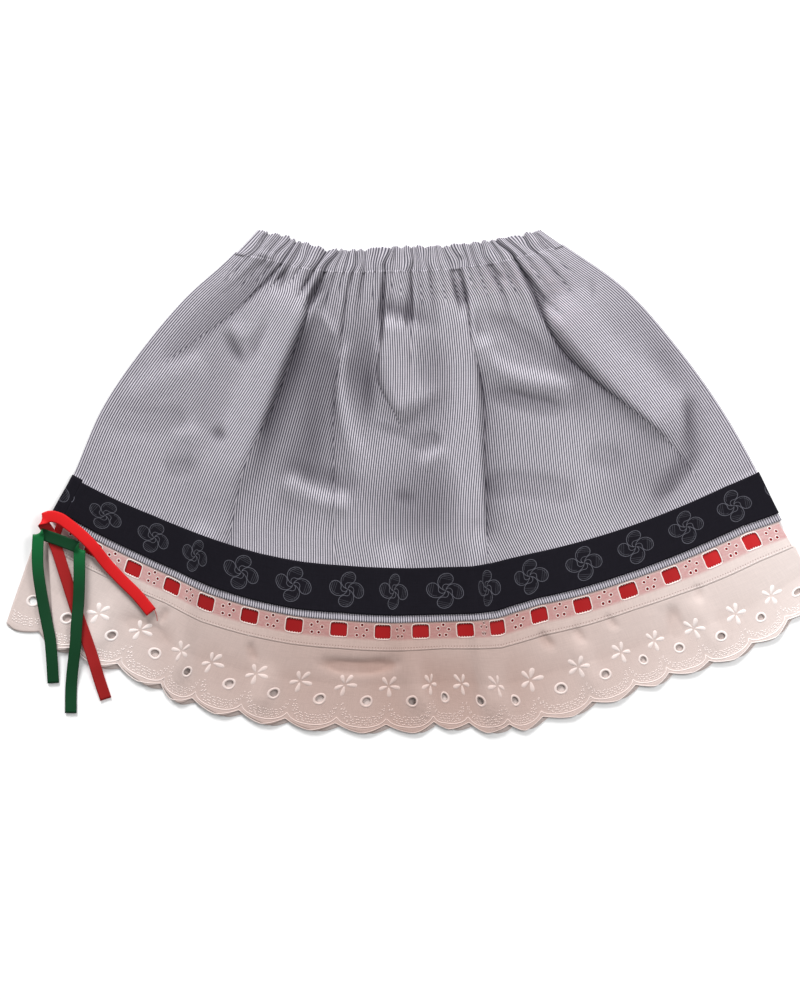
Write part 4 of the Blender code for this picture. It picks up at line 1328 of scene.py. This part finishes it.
def build_flounce(side, left):
    """The openwork flounce of one side, cut to its scallops and through at its eyelets."""
    columns, rows = (561, 58) if side == "front" else (421, 44)
    places = np.linspace(0, 1, columns)[None, :]
    edge_across = left[1] + places * (1 - left[1])
    edge = CUSP_LINE + scallop(pattern_along(side, edge_across, CUSP_LINE) / LACE_PITCH)
    top = FLOUNCE_SEAM - TUCKED_UNDER
    down = top + np.linspace(0, 1, rows)[:, None] * (edge - top)
    side_across = flounce_left(left, down)
    across = side_across + places * (1 - side_across)
    u = pattern_along(side, across, down)
    cloth = stacked(u, down)
    middles = (cloth[1:, 1:] + cloth[:-1, :-1]) / 2
    holes = np.zeros(middles.shape[:2], bool)
    for centre in flounce_eyelets(side, left):
        holes |= np.hypot(*(middles - centre).transpose(2, 0, 1)) < EYELET_RADIUS + 0.5
    points = flounce_face(side, across, down, border_share(u / LACE_PITCH, down))
    # Painted shade of the trim, with the folds' painted shade on the front.
    hollow = trim_painted_shade_with_folds(side, points, across, down)
    name, faces_down = f"flounce_{side}_cotton", side == "back"
    return shell(name, points, cloth, flounce_cotton, LACE, None, holes, faces_down, hollow=hollow)


# Waist casing

CASING_LEVEL = 2.7
CASING_THICKNESS = 2.3
SIDE_THICKNESS = 1.6
CASING_RUFFLE = 1.2
RUFFLED_EDGE = 2.0
UNDER_EDGE = 2.6
LEAST_THICKNESS = 0.8
SEAM_ABOVE = 0.6
SEAM_PINCH = 0.25
SEAM_PINCH_REACH = 1.3
CASING_SHADE = 0.42
CASING_SIDE = 0.05


def build_casing(side):
    """One side of the elastic casing: a flat closed tube of ruffled cloth, whose ruffles run on into the panel."""
    columns = panel_columns(380)
    sides = smooth_step((1 - np.abs(columns)) / CASING_SIDE)
    ruffle = (ruffles(columns) - RUFFLE_CREST) * sides
    edge = -RUFFLED_EDGE * ruffle - waves(columns, EDGE_JAGS) * sides
    sway, bow = (waves(columns, rows) * sides for rows in (RUFFLE_LEANS, RUFFLE_BOWS))
    level = np.zeros(len(columns))
    if side == "front":
        level = GAP + SIDE_THICKNESS + (CASING_LEVEL - GAP - SIDE_THICKNESS) * sides

    def row(drop, height):
        above_seam = max(0.0, 1 - drop / CASING_SEAM)
        lean = sway * above_seam + bow * math.sin(1.5 * math.pi * above_seam)
        return raised(columns + lean, drop + edge * above_seam, height)

    def crest(drop):
        thick = SIDE_THICKNESS + (CASING_THICKNESS - SIDE_THICKNESS) * sides
        if side == "back":
            return np.maximum(thick + CASING_RUFFLE * ruffle, LEAST_THICKNESS)
        from_seam = (drop - CASING_SEAM + SEAM_ABOVE) / SEAM_PINCH_REACH
        pinch = SEAM_PINCH * math.exp(-(from_seam**2))
        upper = front_outer(columns, np.full(len(columns), drop)) - pinch
        return np.where(sides > 0.999, np.maximum(upper, level + 1.0), np.maximum(upper * sides, level + thick))

    drops = np.linspace(0, CASING_SEAM + SEAM_ABOVE, 15)
    rows = [row(drop, level) for drop in drops[::-1]]
    lengths = [-drop - UNDER_EDGE for drop in drops[::-1]]
    for turn in np.linspace(0, math.pi, 7)[1:-1]:
        rows.append(row(0.0, level + (crest(0.0) - level) * (1 - math.cos(turn)) / 2))
        rows[-1][:, 1] += 0.8 * math.sin(turn)
        lengths.append(UNDER_EDGE * (turn / math.pi - 1))
    rows += [row(drop, crest(drop)) for drop in drops]
    points = np.stack(rows)
    cloth, slip = panel_cloth(columns, columns[None, :], np.array([CASING_SEAM]))
    cloth = stacked(cloth[:1, :, 0], np.array([*lengths, *drops])[:, None])
    # Painted shade between the ruffles.
    hollow = np.clip(CASING_SHADE * (RUFFLE_CREST - ruffles(columns)), 0, 0.6) * np.ones(points.shape[:2])
    return closed_tube(f"casing_{side}", points, cloth, slip[0], hollow)


def closed_tube(name, points, cloth, slip, hollow):
    """A closed tube from rows of points that go once round it. Its two ends are closed flat."""
    rows, columns = points.shape[:2]
    corner = np.arange(rows * columns).reshape(rows, columns)
    quads = grid_faces(np.concatenate([corner, corner[:1]]))
    cloth = cloth.reshape(-1, 2)
    places = cloth[quads]
    places[..., 0] += slip[None, :, None]
    ends = [corner[::-1, 0], corner[:, -1]]
    faces = quads.reshape(-1, 4).tolist() + [end.tolist() for end in ends]
    places = np.concatenate([places.reshape(-1, 2), *(cloth[end] for end in ends)])
    piece = new_piece(name, points, faces, striped_cotton, places, hollow=hollow)
    piece.data.shade_smooth()
    return piece


# Embroidery and stitches: each shape is modelled once and copied along the cloth

THREAD_HEIGHT = 0.5
PETAL_LENGTH = 9.0
PETAL_WIDTH = 5.4
PETAL_TURNS = (-8, 60, 126, 200, 271)
FLOWER_DOWN = 363.0
PETAL_LEAN = 6
FLOWER_MARGIN = 11.0
WINDOW_MARGIN = 8.0
FRAME_CORD = 1.2
FRAME_CORNER = 1.28
TEETH = (-5.2, -3.1, -1.0, 1.2, 3.2, 5.3)
# Length, width and height of stitches, and the steps between them.
TOOTH = (2.3, 0.9, 0.7)
SEAM_STITCH = (2.0, 0.7, 0.9)
SEAM_STITCH_STEP = 2.8
WAIST_STITCH = (1.9, 0.42, 0.4)
WAIST_STITCH_STEP = 2.6
# Outer radius of a ring, width of its wall, and its faces round and across.
PINHOLE_RING = (1.95, 0.9, 10, 4)
EYELET_RING = (5.3, 2.3, 22, 6)
DOT = 0.72
DOT_STEP = 1.9
DOT_ROWS = (1.9, 3.9, 5.9, 8.0)
DOTS_TO = 0.46
DOT_CLIMB = 40
CLIMB_FROM = 0.3


def modelled(resize=(1, 1, 1), slide=(0, 0, 0)):
    """Stretches the shape just added, moves it, and takes its points in millimetres and its faces."""
    piece = bpy.context.active_object
    bpy.ops.object.mode_set(mode="EDIT")
    bpy.ops.mesh.select_all(action="SELECT")
    bpy.ops.transform.resize(value=resize)
    bpy.ops.transform.translate(value=[step * MM for step in slide])
    bpy.ops.object.mode_set(mode="OBJECT")
    points = np.array([vertex.co[:] for vertex in piece.data.vertices]) / MM
    faces = [list(face.vertices) for face in piece.data.polygons]
    bpy.data.objects.remove(piece)
    return points, faces


def padded_petal():
    """A satin-stitch petal: narrow at the flower's middle and full near its tip."""
    bpy.ops.mesh.primitive_uv_sphere_add(segments=8, ring_count=7, radius=MM, rotation=(math.pi / 2, 0, 0))
    bpy.ops.object.transform_apply(rotation=True)
    half = PETAL_LENGTH / 2
    points, faces = modelled(resize=(PETAL_WIDTH / 2, half, THREAD_HEIGHT), slide=(0, 0.8 + half, 0))
    points[:, 0] *= 0.3 + 0.75 * points[:, 1] / PETAL_LENGTH
    return points, faces


def ring(outer, wall, segments, sides):
    """A stitched ring that lies flat."""
    radii = {"major_radius": (outer - wall / 2) * MM, "minor_radius": wall / 2 * MM}
    bpy.ops.mesh.primitive_torus_add(major_segments=segments, minor_segments=sides, **radii)
    return modelled(resize=(1, 1, min(1.0, 2 * THREAD_HEIGHT / wall)))


def window_frame():
    """The cord stitched round a window: a ring squared to the window's size."""
    points, faces = ring(1.0 + FRAME_CORD / 2, FRAME_CORD, 24, 5)
    turn = np.arctan2(points[:, 1], points[:, 0])
    across = np.hypot(points[:, 0], points[:, 1]) - 1.0
    square = np.maximum(np.abs(np.cos(turn)), np.abs(np.sin(turn)))
    reach = np.minimum(1 / square, FRAME_CORNER)
    half = np.array([WINDOW_WIDTH / 2 + 0.3, (WINDOW_BOTTOM - WINDOW_TOP) / 2 + 0.4])
    way = np.stack([np.cos(turn), np.sin(turn)], axis=1)
    points[:, :2] = way * reach[:, None] * half + way * across[:, None]
    return points, faces


def small_stitch(length, width, height):
    """A stitch that lies along the cloth."""
    bpy.ops.mesh.primitive_uv_sphere_add(segments=6, ring_count=4, radius=MM, rotation=(0, math.pi / 2, 0))
    bpy.ops.object.transform_apply(rotation=True)
    return modelled(resize=(length / 2, width / 2, height / 2))


def seed_dot():
    """A small raised dot."""
    bpy.ops.mesh.primitive_ico_sphere_add(subdivisions=1, radius=DOT * MM)
    return modelled(resize=(1, 1, 0.75))


def beading_face(side, across, down, above=0.0):
    """Points on the outer face of a side's beading."""
    if side == "front":
        return front_points(across, down, above - UNDER_HEM)
    return raised(across, down, BACK_TRIM_LIFT - above)


def flounce_face(side, across, down, border, above=0.0):
    """Points on the outer face of a side's flounce. Its border, where border is 1, is raised."""
    if side == "back":
        return beading_face(side, across, down, above)
    points = front_points(across, down, above - UNDER_LACE)
    points[..., 2] += BORDER_RISE * border
    for rise, above_seam, run in FLOUNCE_RISES:
        points[..., 2] += rise * smooth_step((down - FLOUNCE_SEAM + above_seam) / run)
    return points


def laid_out(name, side, face, across_at, sewn, material, above=-LACE / 2):
    """Copies modelled shapes to their places on a side's cloth, as one mesh that follows the cloth.

    sewn holds a shape with its places, each of which is a length along the cloth, one down it, and a turn.
    across_at turns lengths along and down the cloth into places across.
    """
    all_points, all_faces, count = [], [], 0
    for (points, faces), places in sewn:
        for u, down, turn in places:
            cos, sin = math.cos(turn), math.sin(turn)
            along = u + points[:, 0] * cos - points[:, 1] * sin
            fall = down - points[:, 0] * sin - points[:, 1] * cos
            all_points.append(np.stack([along, fall, points[:, 2]], axis=1))
            all_faces += [[count + corner for corner in one] for one in faces]
            count += len(points)
    along, fall, height = np.concatenate(all_points).T
    placed = face(side, across_at(along, fall), fall, height + above)
    if side == "back":
        all_faces = [one[::-1] for one in all_faces]
    # The stitches get their side's painted shade.
    piece = new_piece(name, placed, all_faces, material, hollow=trim_painted_shade(side, placed))
    piece.data.shade_smooth()
    return piece


def laid_cord(points, width):
    """A thin cord along a line of points, as a shape that is still to be joined to others."""
    line = bpy.data.curves.new("cord", "CURVE")
    line.dimensions = "3D"
    line.bevel_depth = width / 2 * MM
    line.bevel_resolution = 0
    line.use_fill_caps = True
    spline = line.splines.new("POLY")
    spline.points.add(len(points) - 1)
    flat = np.concatenate([points * MM, np.ones((len(points), 1))], axis=1)
    spline.points.foreach_set("co", flat.reshape(-1))
    piece = bpy.data.objects.new("cord", line)
    bpy.context.scene.collection.objects.link(piece)
    bpy.ops.object.select_all(action="DESELECT")
    piece.select_set(True)
    bpy.context.view_layer.objects.active = piece
    bpy.ops.object.convert(target="MESH")
    return bpy.context.active_object


def joined(name, side, pieces, material):
    """Joins pieces into one and gives it its material and its side's painted shade."""
    bpy.ops.object.select_all(action="DESELECT")
    for piece in pieces:
        piece.select_set(True)
    bpy.context.view_layer.objects.active = pieces[0]
    bpy.ops.object.join()
    piece = bpy.context.active_object
    piece.name = name
    mesh = piece.data
    mesh.materials.clear()
    mesh.materials.append(material)
    places = np.zeros(3 * len(mesh.vertices))
    mesh.vertices.foreach_get("co", places)
    attribute = mesh.attributes.get("hollow") or mesh.attributes.new("hollow", "FLOAT", "POINT")
    attribute.data.foreach_set("value", trim_painted_shade(side, places.reshape(-1, 3) / MM).astype(np.float32))
    mesh.shade_smooth()
    return piece


def embroider_beading(side, rims):
    """The window frames, the flowers' rings and the two rows of stitches of one side's beading."""
    scale, length = beading_row()
    first, last = np.interp(BEADING_SIDES, scale, length)
    windows = LACE_PITCH * np.arange(len(WINDOW_PLACES))
    windows = windows[(windows > first + WINDOW_MARGIN) & (windows < last - WINDOW_MARGIN)]
    edges = (WINDOW_TOP - 0.3, WINDOW_BOTTOM + 0.3)
    teeth = [(u + step, edge, math.pi / 2) for u in windows for edge in edges for step in TEETH]
    stitches = [(u, FLOUNCE_SEAM - 0.9, 0.08 * math.sin(u)) for u in np.arange(first + 2, last - 2, SEAM_STITCH_STEP)]
    sewn = [
        (window_frame(), [(u, WINDOW_MIDDLE, 0.0) for u in windows]),
        (small_stitch(*TOOTH), teeth),
        (ring(*PINHOLE_RING), [(u, down, 0.0) for u, down in rims]),
        (small_stitch(*SEAM_STITCH), stitches),
    ]

    def across_at(along, down):
        return np.interp(along, length, scale)

    return laid_out(f"beading_{side}_stitches", side, beading_face, across_at, sewn, white_thread)


def seed_dots(side, left):
    """Places of the dots in rows above the border. Towards the cusps the rows climb to the flowers."""
    dots = []
    for k, above_cord in enumerate(DOT_ROWS):
        for lobe in LACE_PITCH * np.array(EYELETS):
            for turn in np.arange(-DOTS_TO + 0.01 * (k % 2), DOTS_TO + 0.001, DOT_STEP / LACE_PITCH):
                climb = DOT_CLIMB * max(abs(turn) - CLIMB_FROM, 0)
                # Each dot strays a little from its even place.
                stray = 0.35 * math.sin(37 * turn + 2.1 * k + lobe)
                u = lobe + turn * LACE_PITCH + 0.4 * math.sin(53 * turn + 1.7 * k)
                down = CUSP_LINE + inner_arc(turn) - above_cord - climb + stray
                left_edge, right_edge = pattern_ends(side, left, down)
                if left_edge + 2 < u < right_edge - 2:
                    dots.append((u, down, 0.0))
    return dots


def border_cords(side, left):
    """The border's two cords: one along its edge and one along its inner arcs."""
    first, last = pattern_ends(side, left, CUSP_LINE)
    u = np.arange(first + 0.8, last - 0.4, 1.3)
    cords = []
    for line, inside, width, border in ((scallop, 0.4, 0.9, 1.0), (inner_arc, 0.0, 1.0, 0.5)):
        down = CUSP_LINE + line(u / LACE_PITCH) - inside
        across = pattern_across(side, u, down)
        kept = (across > flounce_left(left, down) + 0.001) & (across < 0.997)
        points = flounce_face(side, across[kept], down[kept], border, -0.1)
        cords.append(laid_cord(points, width if side == "front" else 0.7 * width))
    return cords


def embroider_flounce(side, left):
    """The flowers, the eyelets' rings, the seed dots and the corded border of one side's flounce."""
    first, last = pattern_ends(side, left, FLOWER_DOWN)
    flowers = LACE_PITCH * (np.arange(EYELETS.start - 1, EYELETS.stop) + 0.5)
    flowers = flowers[(flowers > first + FLOWER_MARGIN) & (flowers < last - FLOWER_MARGIN)]
    petals = [
        (u, FLOWER_DOWN, math.radians(turn - 90 + PETAL_LEAN * math.sin(2 * u + turn)))
        for u in flowers
        for turn in PETAL_TURNS
    ]
    sewn = [
        (padded_petal(), petals),
        (ring(*EYELET_RING), [(u, down, 0.0) for u, down in flounce_eyelets(side, left)]),
        (seed_dot(), seed_dots(side, left)),
    ]

    def face(side, across, down, above):
        return flounce_face(side, across, down, 0.0, above)

    def across_at(along, down):
        return pattern_across(side, along, down)

    name = f"flounce_{side}_embroidery"
    stitches = laid_out(name, side, face, across_at, sewn, white_thread)
    return joined(name, side, [stitches, *border_cords(side, left)], white_thread)


def stitch_casing(side):
    """The seam under the elastic."""
    columns = panel_columns(300)
    seam = CASING_SEAM - SEAM_ABOVE
    length = run_length(*plan(columns, seam))
    places = [(u, seam, 0.1 * math.sin(3 * u)) for u in np.arange(2.0, length[-1] - 2.0, WAIST_STITCH_STEP)]

    def face(side, across, down, above):
        if side == "front":
            return raised(across, down, front_outer(across, down) - 0.42 + above)
        return back_points(across, down, 0.35 - above)

    def across_at(along, down):
        return np.interp(along, length, columns)

    sewn = [(small_stitch(*WAIST_STITCH), places)]
    return laid_out(f"casing_{side}_stitches", side, face, across_at, sewn, waist_thread, 0.1)


# Ribbon ties


def unit(vector):
    """The vector's direction."""
    return vector / np.linalg.norm(vector)


def turn_over(corner, before, after, step):
    """The stretch where a ribbon turns over: it rolls about the line that halves its two headings."""
    axis = unit(before + after)
    out = unit(before - after)
    radius = abs(step) / 2
    reach = math.pi * radius / (2 * before.dot(out))
    start = corner - before * reach
    advance = 2 * reach * before.dot(axis)
    upward = np.array([0.0, 0.0, 1.0 if step > 0 else -1.0])
    spin = upward[2] / (axis[0] * out[1] - axis[1] * out[0])
    stations = []
    for turn in np.linspace(0, math.pi, FOLD_STEPS + 1):
        centre = start + axis * advance * turn / math.pi + out * radius * math.sin(turn)
        centre = centre + upward * radius * (1 - math.cos(turn))
        stations.append((centre, axis, turn * spin))
    return stations


def spun(vector, axis, angle):
    """The vector, turned about an axis."""
    along = axis * vector.dot(axis)
    return along + math.cos(angle) * (vector - along) + math.sin(angle) * np.cross(axis, vector)


def tie_stations(rows):
    """Centres of a ribbon tie, and the directions of its width."""
    legs = [[np.array(point) for point in leg] for leg in rows]
    folds = []
    for leg, following in zip(legs, legs[1:]):
        step = following[1][2] - leg[-1][2]
        before = unit((leg[-1] - leg[-2]) * (1, 1, 0))
        after = unit((following[1] - leg[-1]) * (1, 1, 0))
        stations = turn_over(leg[-1], before, after, step)
        folds.append(stations)
        leg[-1] = stations[0][0]
        following[0] = stations[-1][0]
    centres, widths, side = [], [], 1.0
    for k, leg in enumerate(legs):
        points = np.array(leg)
        length = run_length(*points.T)
        count = max(2, round(length[-1] / TIE_STATION)) + 1
        curve = smooth_through(length, points, np.linspace(0, length[-1], count))
        heading = np.gradient(curve, axis=0)
        for point, ahead in zip(curve, heading):
            centres.append(point)
            widths.append(side * unit(np.array([-ahead[1], ahead[0], 0.0])))
        if k < len(folds):
            start_width = widths[-1]
            for centre, axis, angle in folds[k][1:-1]:
                centres.append(centre)
                widths.append(spun(start_width, axis, angle))
            side = -side
    return np.array(centres), np.array(widths)


def build_tie(name, rows, satin):
    """A ribbon tie: a strip along its stations, bright on the face that starts on top."""
    centres, widths = tie_stations(rows)
    length = run_length(*centres.T)
    heading = np.gradient(centres, axis=0)
    normal = np.cross(heading, widths)
    normal /= np.linalg.norm(normal, axis=1, keepdims=True)
    off = np.linspace(-TIE_WIDTH / 2, TIE_WIDTH / 2, 9)
    points = centres[:, None] + widths[:, None] * off[None, :, None]
    crown = TIE_CROWN * (1 - (2 * off / TIE_WIDTH) ** 2)
    points = points + normal[:, None] * (SATIN / 2 + crown[None, :, None]) + (0, 0, TIE_LIFT)
    cloth = stacked(off[None, :], length[:, None])
    # Painted light and shade: the ties are painted lighter where they catch the window's light at their bends, and
    # painted darker towards their ends.
    fall = TIE_DARKEST_PAINTED_SHADE[name] * smooth_step((TIE_LIGHT_TO - points[..., 1]) / TIE_DARKENS_OVER)
    piece = shell(name, points, cloth, satin, SATIN, hollow=fall)
    mark_reverse(piece)
    return piece, float(length[-1])


def mark_reverse(piece):
    """Marks a ribbon's lower face as its duller reverse. Solidify lists the upper face first."""
    values = np.zeros(len(piece.data.vertices), np.float32)
    values[len(values) // 2 :] = 1.0
    piece.data.attributes.new("reverse", "FLOAT", "POINT").data.foreach_set("value", values)


def frayed_thread():
    """A thread that hangs from the cut end of the red tie."""
    cord = laid_cord(np.array(FRAYED_THREAD), FRAYED_WIDTH)
    cord.data.uv_layers.new(name="cloth")
    cord.data.attributes.new("reverse", "FLOAT", "POINT")
    # The thread gets the back's even painted shade.
    return joined("red_tie_thread", "back", [cord], red_satin)


# Floor, light and camera

PICTURE_WIDTH = 0.664
PICTURE_CENTRE = (-0.0033, -0.0083)
CAMERA_HEIGHT = 2.6
SENSOR = 36.0
PAPER = (0.93, 0.93, 0.93, 1)
ROOM_LIGHT = 0.40
WINDOW_LIGHT = {"energy": 4.2, "angle": math.radians(20)}
WINDOW_PLACE = (-0.25, 1.0, 0.50)
SOFT_BOX = {"size": 0.7, "energy": 9}
SOFT_BOX_PLACE = (0.75, 0.35, 1.1)


def add_light(name, kind, place, settings):
    """A light at a place, turned to the skirt."""
    light = bpy.data.lights.new(name, kind)
    for setting, value in settings.items():
        setattr(light, setting, value)
    holder = bpy.data.objects.new(name, light)
    holder.location = place
    x, y, z = place
    holder.rotation_euler = (math.atan2(math.hypot(x, y), z), 0, math.atan2(x, -y))
    bpy.context.scene.collection.objects.link(holder)


def set_stage():
    """A pale floor, soft light from the upper right and the camera, which looks straight down."""
    bpy.ops.mesh.primitive_grid_add(x_subdivisions=8, y_subdivisions=8, size=24.0)
    floor = bpy.context.active_object
    floor.name = "floor"
    paper = bpy.data.materials.new("floor paper")
    paper.use_nodes = True
    shader = paper.node_tree.nodes["Principled BSDF"]
    shader.inputs["Base Color"].default_value = PAPER
    shader.inputs["Roughness"].default_value = 0.9
    floor.data.materials.append(paper)
    scene = bpy.context.scene
    scene.world = bpy.data.worlds.new("room")
    scene.world.use_nodes = True
    background = scene.world.node_tree.nodes["Background"]
    background.inputs["Color"].default_value = (1, 1, 1, 1)
    background.inputs["Strength"].default_value = ROOM_LIGHT
    add_light("window light", "SUN", WINDOW_PLACE, WINDOW_LIGHT)
    add_light("soft box", "AREA", SOFT_BOX_PLACE, SOFT_BOX)
    camera = bpy.data.objects.new("camera", bpy.data.cameras.new("camera"))
    camera.data.sensor_fit = "HORIZONTAL"
    camera.data.sensor_width = SENSOR
    camera.data.lens = SENSOR * CAMERA_HEIGHT / PICTURE_WIDTH
    camera.location = (*PICTURE_CENTRE, CAMERA_HEIGHT)
    scene.collection.objects.link(camera)
    scene.camera = camera
    scene.view_settings.view_transform = "Standard"


front_cloth, back_cloth = build_panels()
tape_front, tape_end, tape_back = build_bands()
beading_front, front_rims = build_beading("front")
beading_back, back_rims = build_beading("back")
ribbon_front = build_beading_ribbon("front")
ribbon_back = build_beading_ribbon("back")
flounce_front = build_flounce("front", FRONT_FLOUNCE_LEFT)
flounce_back = build_flounce("back", BACK_FLOUNCE_LEFT)
beading_front_stitches = embroider_beading("front", front_rims)
beading_back_stitches = embroider_beading("back", back_rims)
flounce_front_embroidery = embroider_flounce("front", FRONT_FLOUNCE_LEFT)
flounce_back_embroidery = embroider_flounce("back", BACK_FLOUNCE_LEFT)
casing_front = build_casing("front")
casing_back = build_casing("back")
casing_front_stitches = stitch_casing("front")
casing_back_stitches = stitch_casing("back")
tie_red, red_length = build_tie("red_tie", TIE_RED, red_satin)
tie_red_thread = frayed_thread()
tie_green, green_length = build_tie("green_tie", TIE_GREEN, green_satin)

# piece, the node that it stands for, its material slot
REPLACED = (
    (front_cloth, "front_panel", "striped_cotton"),
    (back_cloth, "back_panel", "striped_cotton"),
    (casing_front, "waist_casing_front", "striped_cotton"),
    (casing_back, "waist_casing_back", "striped_cotton"),
    (tape_front, "band_front", "black_tape"),
    (tape_back, "band_back", "black_tape"),
    (tape_end, "band_end", "black_tape"),
    (beading_front, "beading_front", "white_lace"),
    (beading_back, "beading_back", "white_lace"),
    (ribbon_front, "beading_ribbon_front", "red_satin"),
    (ribbon_back, "beading_ribbon_back", "red_satin"),
    (flounce_front, "flounce_front", "white_lace"),
    (flounce_back, "flounce_back", "white_lace"),
    (tie_red, "tie_red", "red_satin"),
    (tie_green, "tie_green", "green_satin"),
)
for piece, node, slot in REPLACED:
    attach(piece, "root")
    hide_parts(node)

SEWN_ON = (
    (beading_front_stitches, "white_lace"),
    (beading_back_stitches, "white_lace"),
    (flounce_front_embroidery, "white_lace"),
    (flounce_back_embroidery, "white_lace"),
    (casing_front_stitches, "striped_cotton"),
    (casing_back_stitches, "striped_cotton"),
    (tie_red_thread, "red_satin"),
)
for piece, slot in SEWN_ON:
    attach(piece, "root")

set_stage()
